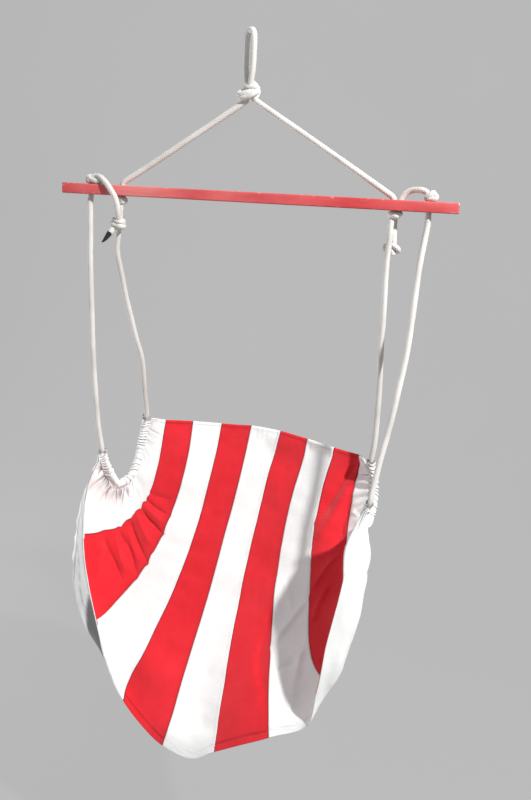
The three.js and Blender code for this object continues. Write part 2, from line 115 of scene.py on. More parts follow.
def natural_spline(x, y, q):
    """Natural cubic spline through y at x, at the places q."""
    x, y, q = np.asarray(x, float), np.asarray(y, float), np.asarray(q, float)
    n = len(x)
    h = np.diff(x)
    a = np.zeros((n, n))
    a[0, 0] = a[-1, -1] = 1
    b = np.zeros((n,) + y.shape[1:])
    for i in range(1, n - 1):
        a[i, i - 1], a[i, i], a[i, i + 1] = h[i - 1], 2 * (h[i - 1] + h[i]), h[i]
        b[i] = 6 * ((y[i + 1] - y[i]) / h[i] - (y[i] - y[i - 1]) / h[i - 1])
    m = np.linalg.solve(a, b.reshape(n, -1)).reshape(b.shape)
    k = np.clip(np.searchsorted(x, q, side="right") - 1, 0, n - 2)
    s = (1,) * (y.ndim - 1)
    hk = h[k].reshape((-1,) + s)
    t0 = (x[k + 1] - q).reshape((-1,) + s)
    t1 = (q - x[k]).reshape((-1,) + s)
    return (
        m[k] * t0**3 / (6 * hk)
        + m[k + 1] * t1**3 / (6 * hk)
        + (y[k] / hk - m[k] * hk / 6) * t0
        + (y[k + 1] / hk - m[k + 1] * hk / 6) * t1
    )


def through(points, step=1.6, tension=0.5):
    """A smooth line through the points (centripetal), with points about step apart. Millimetres."""
    p = np.asarray(points, float)
    d = np.linalg.norm(np.diff(p, axis=0), axis=1) ** tension
    t = np.concatenate([[0], np.cumsum(d)])
    q = np.linspace(0, t[-1], len(p) * 30)
    fine = natural_spline(t, p, q)
    along = np.concatenate([[0], np.cumsum(np.linalg.norm(np.diff(fine, axis=0), axis=1))])
    n = max(2, int(round(along[-1] / step)) + 1)
    at = np.linspace(0, along[-1], n)
    return np.stack([np.interp(at, along, fine[:, k]) for k in range(3)], 1)


def length_of(line):
    return float(np.linalg.norm(np.diff(line, axis=0), axis=1).sum())


def frames_along(line):
    t = np.gradient(line, axis=0)
    t /= np.linalg.norm(t, axis=1)[:, None]
    n = np.zeros_like(t)
    ref = np.array([0.0, 1.0, 0.0]) if abs(t[0, 1]) < 0.9 else np.array([1.0, 0, 0])
    v = ref - t[0] * (ref @ t[0])
    n[0] = v / np.linalg.norm(v)
    for i in range(1, len(t)):
        v = n[i - 1] - t[i] * (n[i - 1] @ t[i])
        n[i] = v / np.linalg.norm(v)
    return t, n, np.cross(t, n)


# ------------------------------------------------------------------ braided rope
CARRIERS, BRAID = 6, 6.4  # strands each way, millimetres of rope per crossing
AROUND = 24


def braid_height(a, b):
    """Height of a round braid, 0 to 1: a is strands around, b crossings along."""
    p, q = a + b, a - b
    top = (np.floor(p) + np.floor(q)) % 2 < 1
    across = np.where(top, q - np.floor(q), p - np.floor(p)) * 2 - 1
    along = np.where(top, p - np.floor(p), q - np.floor(q)) * 2 - 1
    return (1 - across**2) * (0.45 + 0.55 * (1 - along**2))


def rope_tube(line, radius=ROPE_R, swell=None, s0=0.0, ends=(True, True), relief=0.62):
    """Vertices, quads and UVs of a braided tube round a line in millimetres."""
    line = np.asarray(line, float)
    t, n, b = frames_along(line)
    s = np.concatenate([[0], np.cumsum(np.linalg.norm(np.diff(line, axis=0), axis=1))]) + s0
    ang = np.arange(AROUND + 1) / AROUND
    rad = np.full(len(line), float(radius)) if swell is None else np.asarray(swell, float)
    h = braid_height(ang[None, :] * CARRIERS, (s / BRAID)[:, None])
    h[:, -1] = h[:, 0]
    r = rad[:, None] * (1 - relief / ROPE_R) + relief * (0.25 + 1.15 * h) + 0.68
    c, sn = np.cos(2 * np.pi * ang), np.sin(2 * np.pi * ang)
    v = line[:, None, :] + r[..., None] * (c[None, :, None] * n[:, None, :] + sn[None, :, None] * b[:, None, :])
    v = v[:, :AROUND]
    m, k = len(line), AROUND
    i, j = np.meshgrid(np.arange(m - 1), np.arange(k), indexing="ij")
    q = np.stack([i * k + j, i * k + (j + 1) % k, (i + 1) * k + (j + 1) % k, (i + 1) * k + j], -1).reshape(-1, 4)
    uv = np.stack(np.broadcast_arrays((ang[:k] * CARRIERS)[None, :], (s / BRAID)[:, None]), -1)
    verts, uvs, quads = [v.reshape(-1, 3)], [uv.reshape(-1, 2)], [q]
    count = m * k
    for end, row, sign in ((ends[0], 0, -1.0), (ends[1], m - 1, 1.0)):
        if not end:
            continue
        # a rounded cap of two smaller rings and a flat middle
        base = row * k
        prev = np.arange(base, base + k)
        for f, out in ((0.78, 0.45), (0.4, 0.72), (0.05, 0.8)):
            ringv = line[row] + (v[row] - line[row]) * f + t[row] * sign * rad[row] * out * 0.6
            verts.append(ringv)
            uvs.append(uv[row].reshape(-1, 2) + [0, 0.3 * out])
            cur = np.arange(count, count + k)
            nxt = np.roll(np.arange(k), -1)
            if sign > 0:
                quads.append(np.stack([prev, prev[nxt], cur[nxt], cur], -1))
            else:
                quads.append(np.stack([prev, cur, cur[nxt], prev[nxt]], -1))
            prev = cur
            count += k
    return np.concatenate(verts) * MM, np.concatenate(quads), np.concatenate(uvs)


def join_parts(parts):
    vs, qs, us, base = [], [], [], 0
    for v, q, u in parts:
        vs.append(v)
        qs.append(q + base)
        us.append(u)
        base += len(v)
    return np.concatenate(vs), np.concatenate(qs), np.concatenate(us)


def rope_piece(name, lines, mat, radius=ROPE_R, s0=0.0, ends=(True, True)):
    """One object of one or more braided strands; lines are in millimetres."""
    parts = [rope_tube(l, radius, s0=s0, ends=ends) for l in lines]
    v, q, u = join_parts(parts)
    ob = mesh_object(name, v, q, [mat], uv=u)
    return ob


# ------------------------------------------------------------------ seat surface
V_ROWS = np.array([0, 0.12, 0.25, 0.38, 0.5, 0.62, 0.74, 0.84, 0.91, 0.955, 1.0])
NET = np.array(
    [
        [[-247, 131, -860], [-256, 138, -896], [-262, 136, -933], [-267, 126, -970], [-278, 106, -1009], [-292, 61, -1015], [-298, 31, -986], [-303, 14, -959], [-306, 5, -939], [-308, 0, -926], [-310, -3, -913]],
        [[-228, 137, -863], [-235, 136, -909], [-239, 126, -957], [-245, 111, -1002], [-268, 98, -1044], [-298, 65, -1062], [-329, 28, -1044], [-349, -4, -1017], [-341, -25, -1007], [-336, -36, -1002], [-329, -48, -995]],
        [[-202, 146, -866], [-207, 134, -921], [-213, 118, -981], [-224, 97, -1038], [-250, 82, -1086], [-286, 57, -1121], [-330, 21, -1131], [-358, -15, -1125], [-355, -48, -1117], [-343, -64, -1111], [-326, -76, -1105]],
        [[-171, 154, -866], [-173, 133, -931], [-181, 111, -1002], [-197, 87, -1071], [-223, 64, -1131], [-261, 40, -1183], [-307, 7, -1218], [-343, -31, -1234], [-351, -72, -1222], [-330, -92, -1209], [-304, -103, -1198]],
        [[-136, 160, -866], [-138, 133, -937], [-149, 108, -1017], [-168, 80, -1095], [-191, 51, -1163], [-224, 24, -1228], [-265, -11, -1283], [-299, -52, -1318], [-318, -93, -1311], [-299, -114, -1299], [-271, -128, -1290]],
        [[-100, 162, -866], [-105, 134, -940], [-116, 107, -1023], [-134, 77, -1106], [-155, 45, -1180], [-181, 11, -1250], [-213, -30, -1311], [-240, -73, -1354], [-264, -102, -1366], [-261, -120, -1370], [-246, -141, -1372]],
        [[-63, 162, -865], [-71, 134, -942], [-83, 106, -1028], [-98, 74, -1114], [-116, 40, -1191], [-137, 0, -1263], [-160, -48, -1329], [-178, -94, -1379], [-195, -112, -1415], [-202, -127, -1439], [-201, -153, -1458]],
        [[-25, 161, -864], [-34, 132, -944], [-48, 102, -1035], [-63, 68, -1125], [-79, 31, -1207], [-96, -13, -1284], [-112, -64, -1355], [-125, -109, -1410], [-136, -133, -1453], [-141, -149, -1482], [-146, -168, -1510]],
        [[13, 158, -862], [2, 127, -946], [-12, 96, -1041], [-28, 61, -1135], [-41, 22, -1220], [-55, -24, -1301], [-69, -75, -1378], [-79, -118, -1440], [-85, -150, -1482], [-90, -169, -1509], [-97, -179, -1540]],
        [[52, 152, -863], [37, 122, -947], [22, 91, -1041], [8, 56, -1135], [-4, 16, -1220], [-14, -30, -1302], [-21, -82, -1382], [-24, -126, -1448], [-24, -161, -1492], [-24, -181, -1520], [-27, -193, -1552]],
        [[89, 143, -864], [72, 115, -946], [57, 86, -1037], [44, 51, -1129], [35, 12, -1211], [30, -34, -1289], [27, -86, -1363], [27, -133, -1422], [27, -165, -1462], [28, -185, -1488], [29, -203, -1516]],
        [[125, 131, -867], [108, 105, -945], [93, 77, -1032], [82, 45, -1119], [76, 8, -1198], [75, -38, -1272], [78, -91, -1339], [80, -139, -1391], [81, -172, -1429], [84, -192, -1453], [90, -212, -1480]],
        [[161, 117, -870], [144, 92, -944], [129, 66, -1027], [120, 36, -1110], [117, 1, -1185], [119, -43, -1255], [126, -94, -1320], [133, -142, -1370], [140, -177, -1403], [145, -199, -1424], [150, -219, -1446]],
        [[195, 102, -873], [177, 79, -943], [164, 54, -1023], [158, 26, -1102], [158, -9, -1173], [162, -47, -1242], [173, -96, -1307], [192, -141, -1357], [217, -178, -1382], [226, -206, -1391], [221, -225, -1401]],
        [[227, 85, -875], [209, 65, -942], [198, 42, -1017], [195, 15, -1092], [198, -20, -1157], [205, -53, -1222], [213, -99, -1278], [237, -142, -1316], [268, -178, -1325], [268, -205, -1320], [241, -218, -1314]],
        [[257, 66, -876], [243, 50, -938], [234, 30, -1007], [231, 4, -1074], [236, -29, -1131], [247, -60, -1187], [263, -109, -1218], [288, -155, -1233], [302, -189, -1230], [291, -206, -1221], [257, -210, -1210]],
        [[282, 47, -877], [276, 36, -933], [269, 20, -992], [266, -4, -1049], [270, -35, -1095], [284, -67, -1135], [307, -119, -1138], [322, -165, -1129], [312, -195, -1120], [292, -199, -1113], [275, -200, -1108]],
        [[302, 30, -878], [304, 25, -924], [301, 13, -972], [298, -8, -1017], [299, -37, -1050], [302, -69, -1071], [318, -116, -1052], [323, -155, -1028], [293, -176, -1015], [281, -176, -1011], [291, -179, -1009]],
        [[313, 18, -878], [322, 19, -911], [326, 13, -947], [326, -5, -978], [320, -32, -998], [314, -65, -996], [311, -93, -978], [312, -111, -956], [315, -121, -939], [317, -127, -928], [320, -134, -918]],
    ],
    float,
)  # 19 seam and middle lines, 11 places along each, millimetres
EDGE = 10.8


def hermite(p0, p1, m0, m1, t):
    t2, t3 = t * t, t * t * t
    return (2 * t3 - 3 * t2 + 1) * p0 + (t3 - 2 * t2 + t) * m0 + (3 * t2 - 2 * t3) * p1 + (t3 - t2) * m1


def net_slopes():
    h = np.diff(V_ROWS)[None, :, None]
    d = np.diff(NET, axis=1) / h
    m = np.empty_like(NET)
    m[:, 0], m[:, -1] = d[:, 0], d[:, -1]
    h0, h1 = h[:, :-1], h[:, 1:]
    m[:, 1:-1] = (d[:, :-1] * h1 + d[:, 1:] * h0) / (h0 + h1)
    return m


NET_M = net_slopes()


def surf(u, v):
    """The seat's middle surface at arrays u (0 to 9 across) and v (0 rear to 1 front) of one shape."""
    u, v = np.broadcast_arrays(np.asarray(u, float), np.clip(np.asarray(v, float), 0, 1))
    k = np.clip(np.searchsorted(V_ROWS, v, side="right") - 1, 0, len(V_ROWS) - 2)
    h = V_ROWS[k + 1] - V_ROWS[k]
    t = ((v - V_ROWS[k]) / h)[..., None]
    h = h[..., None]
    s = np.clip(u * 2, 0, 18)
    c = np.minimum(np.floor(s), 17).astype(int)
    f = (s - c)[..., None]

    def column(i):
        return hermite(NET[i, k], NET[i, k + 1], NET_M[i, k] * h, NET_M[i, k + 1] * h, t)

    p = [column(np.clip(c + j, 0, 18)) for j in (-1, 0, 1, 2)]
    first, last = (c == 0)[..., None], (c == 17)[..., None]
    p[0] = np.where(first, 2 * p[1] - p[2], p[0])
    p[3] = np.where(last, 2 * p[2] - p[1], p[3])
    return hermite(p[1], p[2], (p[2] - p[0]) / 2, (p[3] - p[1]) / 2, f)


def unit(a):
    return a / np.maximum(np.linalg.norm(a, axis=-1, keepdims=True), 1e-9)


def edge_points(side, v):
    """Where the cloth meets its casing: EDGE millimetres in from the rope's line."""
    u = 0.0 if side < 0 else 9.0
    inner = 0.5 if side < 0 else 8.5
    c = surf(u, v)
    t = unit(surf(u, v + 0.004) - surf(u, v - 0.004))
    d = surf(inner, v) - c
    d = unit(d - t * (d * t).sum(-1, keepdims=True))
    return c + d * EDGE, c, t, d


PER = 12  # grid columns in a stripe
ROWS_V = 241
NU = 9 * PER + 1


def base_grid():
    v = np.linspace(0, 1, ROWS_V)
    a = np.repeat(np.linspace(0, 9, NU)[:, None], ROWS_V, 1)
    for side in (-1, 1):
        t = np.linspace(0, 1, 61)
        uu = t[:, None] if side < 0 else 9 - t[:, None]
        line = surf(np.repeat(uu, ROWS_V, 1), v[None, :])
        dist = np.concatenate([np.zeros((1, ROWS_V)), np.cumsum(np.linalg.norm(np.diff(line, axis=0), axis=2), 0)])
        for j in range(ROWS_V):
            e = np.interp(EDGE, dist[:, j], t)
            w = e + (1 - e) * np.linspace(0, 1, PER + 1)
            if side < 0:
                a[: PER + 1, j] = w
            else:
                a[-PER - 1 :, j] = 9 - w[::-1]
    p = surf(a, v[None, :])
    p[0] = edge_points(-1, v)[0]
    p[-1] = edge_points(1, v)[0]
    return a, v, p


def grid_normals(p):
    du, dv = np.gradient(p, axis=0), np.gradient(p, axis=1)
    return unit(np.cross(dv, du))


def noise_line(s, wave, seed, spread=0.35, terms=9):
    """Smooth noise along s with waves about that long, roughly -1 to 1."""
    rng = np.random.default_rng(seed)
    out = np.zeros_like(np.asarray(s, float))
    for _ in range(terms):
        w = wave * (1 + spread * rng.uniform(-1, 1))
        out += np.sin(2 * np.pi * s / w + rng.uniform(0, 2 * np.pi))
    return out / (0.55 * terms**0.5 * 1.6)


def ease(x, a, b):
    t = np.clip((x - a) / (b - a), 0, 1)
    return t * t * (3 - 2 * t)


# ------------------------------------------------------------------ rope
REAR_LEFT = [[-271, 0, -356], [-274, 5, -374], [-278, 10, -393], [-282, 16, -417], [-287, 24, -449], [-282, 37, -498], [-276, 51, -551], [-266, 66, -610], [-258, 78, -656], [-249, 89, -698], [-247, 102, -746], [-247, 118, -807], [-246, 127, -840]]
FRONT_LEFT = [[-340, 0, -356], [-340, 0, -384], [-340, 0, -442], [-339, -1, -512], [-337, -1, -572], [-334, -1, -663], [-330, -2, -732], [-325, -2, -803], [-319, -2, -862], [-314, -2, -892]]
REAR_RIGHT = [[310, 0, -356], [310, 1, -382], [308.5, 3, -429], [309, 4, -483], [311, 7, -547], [312, 9, -617], [315, 11, -677], [317, 14, -756], [317, 16, -814], [315, 17, -852]]
FRONT_RIGHT = [[384, 0, -356], [382, -5, -378], [376, -19, -436], [373, -33, -496], [370, -48, -558], [366, -62, -618], [358, -77, -679], [350, -91, -737], [340, -104, -793], [333, -113, -830], [327, -122, -870], [323, -129, -897]]
TAIL_LEFT = [[-323, -5.5, -292.8], [-312.5, -14, -294.5], [-297, -24.5, -303.5], [-284.7, -28, -317], [-276.5, -28.5, -329], [-271.2, -28, -341], [-268.6, -27, -353], [-268.2, -23.5, -366.5], [-270, -17, -379], [-271.5, -11, -386]]
TAIL_RIGHT = [[373, 8.5, -289.5], [366, 12.5, -287.4], [357.9, 18, -287.2], [346.5, 25, -288.6], [336.5, 28, -294.0], [329.2, 28.8, -302.0], [324.2, 28.5, -313], [319.6, 27.5, -327.4], [317, 26, -343.7], [316.8, 23, -359.9], [317.7, 19.5, -376.1], [318.6, 16, -390], [318.8, 15.2, -394]]
TOP_LEFT = [[-9.5, 0, -133.5], [-78, 0, -179.5], [-161, 0, -235], [-237, 0, -285.2], [-257.5, 0, -297.9], [-264.3, 0, -303.8], [-266.8, 0, -311], [-267, 0, -320], [-267, 0, -331]]
TOP_RIGHT = [[24.8, 0, -133.5], [89, 0, -171.3], [165, 0, -216.4], [239, 0, -260.8], [300.4, 0, -298.0], [308.6, 0, -303.8], [312.3, 0, -310.8], [313, 0, -320], [313, 0, -331]]


def cut(line, from_s, to_s):
    s = np.concatenate([[0], np.cumsum(np.linalg.norm(np.diff(line, axis=0), axis=1))])
    n = max(2, int(round((to_s - from_s) / 1.35)) + 1)
    at = np.linspace(from_s, to_s, n)
    return np.stack([np.interp(at, s, line[:, k]) for k in range(3)], 1)


def nearest_s(line, point):
    s = np.concatenate([[0], np.cumsum(np.linalg.norm(np.diff(line, axis=0), axis=1))])
    return s[np.linalg.norm(line - np.asarray(point, float), axis=1).argmin()]


def wrap_line(centre, axis, radius, turns, rise, start=0.0, oval=1.0, dive=(0.35, 0.35), sink=5.0, ref=None):
    """A strand going round an axis, its ends turning in towards the core."""
    a = unit(np.asarray(axis, float))
    r = np.array([1.0, 0, 0]) if ref is None else np.asarray(ref, float)
    e1 = unit(r - a * (r @ a))
    e2 = np.cross(a, e1)
    n = max(24, int(turns * 40))
    f = np.linspace(0, 1, n)
    ang = math.radians(start) + 2 * np.pi * turns * f
    t = f * turns
    pull = np.exp(-((t / dive[0]) ** 2)) if dive[0] else 0 * f
    pull = pull + (np.exp(-(((turns - t) / dive[1]) ** 2)) if dive[1] else 0)
    rad = radius - sink * pull
    h = rise * (f - 0.5)
    return (
        np.asarray(centre, float)
        + (rad * np.cos(ang))[:, None] * e1
        + (rad * oval * np.sin(ang))[:, None] * e2
        + h[:, None] * a
    )


def resample(line, step=1.35):
    return through(line[:: max(1, len(line) // 60)], step) if len(line) > 60 else through(line, step)


def build_ropes(mats):
    R = mats["rope"]
    # --- side ropes: one run each, cut where it enters and leaves the casing
    for side, u, rear, front in (("left", 0.0, REAR_LEFT, FRONT_LEFT), ("right", 9.0, REAR_RIGHT, FRONT_RIGHT)):
        inside = surf(np.full(15, u), np.linspace(0, 1, 15))
        top_r = [rear[0][0] + (0.6 if side == "left" else 2.0), 0, -340.0]
        top_f = [front[0][0], 0, -340.0]
        run = through(np.concatenate([[top_r], rear, inside, front[::-1], [top_f]]), 0.8)
        total = length_of(run)
        a = nearest_s(run, inside[0]) - 5
        b = nearest_s(run, inside[-1]) + 5
        first, middle, last = cut(run, 0, a + 0.4), cut(run, a, b), cut(run, b - 0.4, total)
        rr = rope_piece("rear_rope_" + side + "_braid", [first], R, s0=0.0)
        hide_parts("rear_rope_" + side)
        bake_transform(rr)
        cr = rope_piece("casing_rope_" + side + "_braid", [middle], R, s0=a)
        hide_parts("casing_rope_" + side)
        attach(cr, "seat")
        fr = rope_piece("front_rope_" + side + "_braid", [last], R, s0=b)
        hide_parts("front_rope_" + side)
        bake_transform(fr)
    # --- top ropes
    for side, pts, near, far in (
        ("left", TOP_LEFT, (-0.006, 0, -0.1300), (-0.062, 0, -0.168)),
        ("right", TOP_RIGHT, (0.0215, 0, -0.1315), (0.078, 0, -0.165)),
    ):
        head = [[-2.0, 0, -128.0]] if side == "left" else [[15.5, 0, -127.5]]
        line = through(head + pts, 1.35)
        ob = rope_piece("top_rope_" + side + "_braid", [line], R, s0=13.0)
        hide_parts("top_rope_" + side)
        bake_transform(ob)
    # --- eye: one strand up, over and down again
    phi = math.radians(-46)
    half = [(7.4, -92.5), (9.6, -82.5), (12.2, -68), (13.2, -44), (13.2, -24), (12.8, -11), (10.6, -1.8), (6.0, 3.9)]
    down = [(-x * math.cos(phi), -x * math.sin(phi), z) for x, z in half]
    back = [(x * math.cos(phi), x * math.sin(phi), z) for x, z in half[::-1]]
    ends_l = [(-6.0 * math.cos(phi) * 0.9, -5.4 * math.sin(phi), -103)]
    ends_r = [(6.0 * math.cos(phi) * 0.9, 5.4 * math.sin(phi), -103)]
    line = through(ends_l + down + [(0, 0, 5.5)] + back + ends_r, 1.35)
    line = cut(line, 0, length_of(line))
    ob = rope_piece("eye_loop_braid", [line], R, radius=5.45, s0=31.0)
    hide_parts("eye_loop")
    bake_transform(ob)

    # --- apex knot: an overhand knot tied in the doubled rope
    strands = [
        through([[-11.0, 8.0, -110.8], [-18.6, 3.0, -114.6], [-17.0, -5.0, -117.6], [-3.8, -10.4, -115.2], [8.0, -8.0, -112.4], [14.0, -1.0, -112.6], [10.5, 6.0, -115.0]], 1.35),
        through([[-11.6, 8.0, -119.5], [-18.2, 1.0, -121.6], [-11.2, -8.0, -124.0], [0.3, -12.0, -122.9], [9.4, -13.0, -118.6], [15.4, -9.0, -113.6], [17.6, -2.0, -112.2], [15.1, 4.0, -115.0]], 1.35),
        through([[8.1, 0.0, -94.5], [13.8, 2.0, -99.5], [18.4, 3.0, -106.5], [18.6, 2.0, -114.0], [15.7, 0.0, -120.4], [13.0, -0.5, -124.6]], 1.35),
        through([[-2.0, 0.0, -94.8], [-0.6, 1.0, -102.2], [0.5, 3.0, -111.5], [-1.0, 2.0, -120.0], [-4.4, 0.0, -127.4], [-8.0, 0.0, -131.6]], 1.35),
        through([[8.8, 0.0, -94.0], [8.4, 0.0, -102.1], [5.6, 2.0, -111.5], [8.6, 1.0, -119.2], [15.0, 0.0, -126.4], [20.5, 0.0, -130.6]], 1.35),
        through([[-8.0, 4.5, -104.5], [-2.0, -3.0, -103.0], [7.0, -4.5, -101.5], [14.0, -1.5, -103.0], [16.5, 5.0, -107.0]], 1.35),
    ]
    ob = rope_piece("apex_knot_braid", strands, R, radius=5.1, s0=5.0)
    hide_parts("apex_knot")
    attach(ob, "apex")

    # --- stopper knots
    def knot(name, lines, node, body, radius=5.1):
        ob = rope_piece(name + "_braid", [resample(l) for l in lines], R, radius=radius)
        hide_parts(node)
        if body:
            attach(ob, body)
        return ob

    xl, xr = -337.0, 383.0
    knot(
        "outer_stopper_knot_left",
        [
            wrap_line((xl - 0.4, 0, -303.2), (0.10, 0.0, 1), 7.2, 1.25, 2.0, start=-60, sink=3.5),
            wrap_line((xl - 2.2, 0.5, -298.2), (0.75, -0.15, 0.62), 6.4, 1.15, 2.5, start=120, sink=3.0),
            through([[xl + 3, -1, -300], [xl + 5.5, -4.4, -296.5], [xl + 9.5, -5.0, -293.4], [-323, -5.5, -292.8]], 1.35),
            through([[-339.0, -4.0, -297.8], [-329.5, -10.0, -301.6], [-318.6, -13.0, -303.4], [-312.4, -10.5, -302.6], [-313.0, -3.0, -301.4], [-321.0, 3.0, -301.8]], 1.35),
            through([[xl - 4, 3.5, -303], [xl - 3.5, -3.5, -297.5], [xl + 2.0, -7.6, -299.2], [xl + 8.6, -5.4, -304.2]], 1.35),
        ],
        "outer_stopper_knot_left",
        "bar",
    )
    knot(
        "outer_stopper_knot_right",
        [
            wrap_line((xr, 0, -303.2), (-0.06, 0.0, 1), 7.4, 1.3, 2.0, start=150, sink=3.5),
            through([[385.0, 3.0, -296.0], [391.2, -3.0, -295.6], [395.4, -7.0, -300.0], [393.4, -8.5, -303.6], [386.9, -7.0, -303.6], [381.0, -5.5, -302.6]], 1.35),
            wrap_line((xr + 2.4, 0.6, -297.6), (-0.62, -0.2, 0.75), 6.4, 1.15, 2.5, start=20, sink=3.0),
            through([[xr - 1, 2, -299], [xr - 4.0, 4.0, -294.8], [xr - 7.0, 6.5, -291.0], [373, 8.5, -289.5]], 1.35),
            through([[xr - 6, -3.5, -301.5], [xr - 0.5, -6.8, -298.0], [xr + 4.5, -5.4, -293.0], [xr + 7.0, 0.5, -292.5], [xr + 4, 4, -297]], 1.35),
        ],
        "outer_stopper_knot_right",
        "bar",
    )
    for side, x in (("left", -337.0), ("right", 383.0)):
        line = through([[x, 0, -302], [x, 0, -318], [x + (-1.4 if side == "left" else 0.5), 0, -334], [x + (-3 if side == "left" else 1), 0, -349.5]], 1.35)
        ob = rope_piece("outer_hole_rope_" + side + "_braid", [line], R, s0=44.0)
        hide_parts("outer_hole_rope_" + side)
        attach(ob, "bar")
    knot(
        "inner_stopper_knot_left",
        [
            wrap_line((-267.2, 0, -337.3), (0.12, 0.0, 1), 7.3, 1.3, 2.4, start=-40, sink=3.5),
            wrap_line((-266.0, 0.0, -343.2), (-0.55, 0.1, 0.8), 6.3, 1.1, 3.0, start=200, sink=3.0),
            through([[-267, 0, -329], [-267.3, 0, -338], [-270.4, 0, -349.5]], 1.35),
        ],
        "inner_stopper_knot_left",
        "bar",
    )
    knot(
        "inner_stopper_knot_right",
        [
            wrap_line((316.2, 0, -337.0), (-0.10, 0.0, 1), 11.4, 1.3, 1.2, start=200, oval=0.80, sink=5.5),
            wrap_line((317.2, 0.2, -340.6), (0.16, 0.0, 1), 7.6, 1.2, 1.2, start=20, oval=0.95, sink=4.0),
            through([[313, 0, -329], [312.6, 0, -338], [310.6, 0, -349.5]], 1.35),
        ],
        "inner_stopper_knot_right",
        "bar",
    )
    # --- tails
    for side, pts in (("left", TAIL_LEFT), ("right", TAIL_RIGHT)):
        line = through(pts, 1.35)
        ob = rope_piece("tail_" + side + "_braid", [line], R, radius=5.4, s0=70.0)
        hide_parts("tail_" + side)
        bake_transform(ob)
    # --- closing knots round the rear ropes
    knot(
        "closing_knot_left",
        [
            wrap_line((-274.9, -1.0, -384.4), (0.30, 0.10, 1), 10.8, 1.22, 3.0, start=66, oval=1.62, sink=3.0, ref=(0.94, 0.342, 0)),
            wrap_line((-273.0, -0.5, -394.2), (0.16, 0.06, 1), 9.6, 1.22, 3.0, start=80, oval=1.72, sink=3.0, ref=(0.94, 0.342, 0)),
            through([[-271.5, -11, -383], [-272.6, -6.5, -389], [-276, -4.6, -394.0], [-280.5, -5, -397.6]], 1.35),
            through([[-268.0, 9.0, -384.0], [-270.5, -6.0, -388.4], [-276.5, -15.0, -391.4], [-284.5, -11.5, -391.0], [-287.0, -2.0, -390.0]], 1.35),
        ],
        "closing_knot_left",
        "seat",
        radius=5.0,
    )
    knot(
        "closing_knot_right",
        [
            through([[310.6, 16.0, -398.1], [316.4, 13.0, -400.4], [323.0, 11.0, -403.6], [329.0, 13.5, -408.6], [328.0, 20.0, -412.6], [319.0, 23.0, -413.0], [308.0, 21.0, -412.0], [301.2, 16.5, -409.6], [302.8, 14.0, -404.6], [310.0, 16.5, -401.0]], 1.35),
            through([[318.8, 15.2, -391], [319.4, 15.6, -397], [317.0, 17.6, -404.0], [315.6, 14.6, -410.0]], 1.35),
        ],
        "closing_knot_right",
        "seat",
        radius=4.9,
    )
    # --- rope ends
    line = through([[-278.8, -2.6, -395.4], [-281.5, -4, -396.6], [-283.4, -10.5, -399.6], [-285, -14.5, -404], [-288.6, -16.7, -409.6]], 1.35)
    ob = rope_piece("rope_end_left_braid", [line], R, radius=5.6, s0=3.0)
    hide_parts("rope_end_left")
    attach(ob, "seat")
    line = through([[315.2, 15.0, -407.5], [316.6, 14.4, -412], [318.0, 14.0, -416.2], [319.4, 13.8, -420.4]], 1.35)
    ob = rope_piece("rope_end_right_braid", [line], R, radius=4.7, s0=3.0)
    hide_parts("rope_end_right")
    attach(ob, "seat")
    # --- taped tip, wound to a point and bent like a small horn
    spine = through([[-287.6, -16.2, -407.8], [-290.2, -17.3, -411.8], [-294.6, -19.6, -419], [-299.6, -21.2, -425.6], [-305.2, -21.6, -430.8]], 0.5)
    t, n, b = frames_along(spine)
    f = np.linspace(0, 1, len(spine))
    prof = np.interp(f, [0, 0.04, 0.16, 0.42, 0.7, 0.9, 0.985, 1.0], [5.5, 6.15, 6.05, 5.1, 3.6, 2.1, 1.25, 0.3])
    s = f * length_of(spine)
    k = 28
    ang = np.arange(k) / k * 2 * np.pi
    turn = (s[:, None] / 4.6 + ang[None, :] / (2 * np.pi)) % 1.0
    lap = 0.34 * np.where(turn < 0.12, turn / 0.12, 1 - (turn - 0.12) * 0.9)
    crumple = 0.22 * noise_line(s[:, None] * 1.0 + 3.0 * np.sin(ang * 2)[None, :], 3.1, 7) * noise_line(ang[None, :] * 4, 2.6, 8)
    r = prof[:, None] * (1 + 0.06 * np.cos(2 * ang + 0.6)[None, :]) + (lap + crumple) * np.minimum(1, prof[:, None] / 3)
    v = spine[:, None] + r[..., None] * (np.cos(ang)[None, :, None] * n[:, None] + np.sin(ang)[None, :, None] * b[:, None])
    m = len(spine)
    i, j = np.meshgrid(np.arange(m - 1), np.arange(k), indexing="ij")
    q = np.stack([i * k + j, i * k + (j + 1) % k, (i + 1) * k + (j + 1) % k, (i + 1) * k + j], -1).reshape(-1, 4)
    vv = v.reshape(-1, 3)
    c0, c1 = np.array([spine[0]]), np.array([spine[-1] + t[-1] * 0.3])
    ring0 = spine[0] + (v[0] - spine[0]) * 0.1
    ring1 = c1[0] + (v[-1] - spine[-1]) * 0.2
    o0, o1 = len(vv), len(vv) + k
    jj = np.arange(k)
    q = np.concatenate([q, np.stack([jj, jj + o0, (jj + 1) % k + o0, (jj + 1) % k], -1), np.stack([(m - 1) * k + jj, (m - 1) * k + (jj + 1) % k, (jj + 1) % k + o1, jj + o1], -1)])
    vv = np.concatenate([vv, ring0, ring1])
    uu = np.stack(np.broadcast_arrays(ang[None, :] / (2 * np.pi), s[:, None] / 10), -1).reshape(-1, 2)
    uu = np.concatenate([uu, uu[:k], uu[-k:]])
    ob = mesh_object("taped_tip_left_tape", vv * MM, q, [mats["tape"]], uv=uu)
    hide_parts("taped_tip_left")
    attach(ob, "seat")


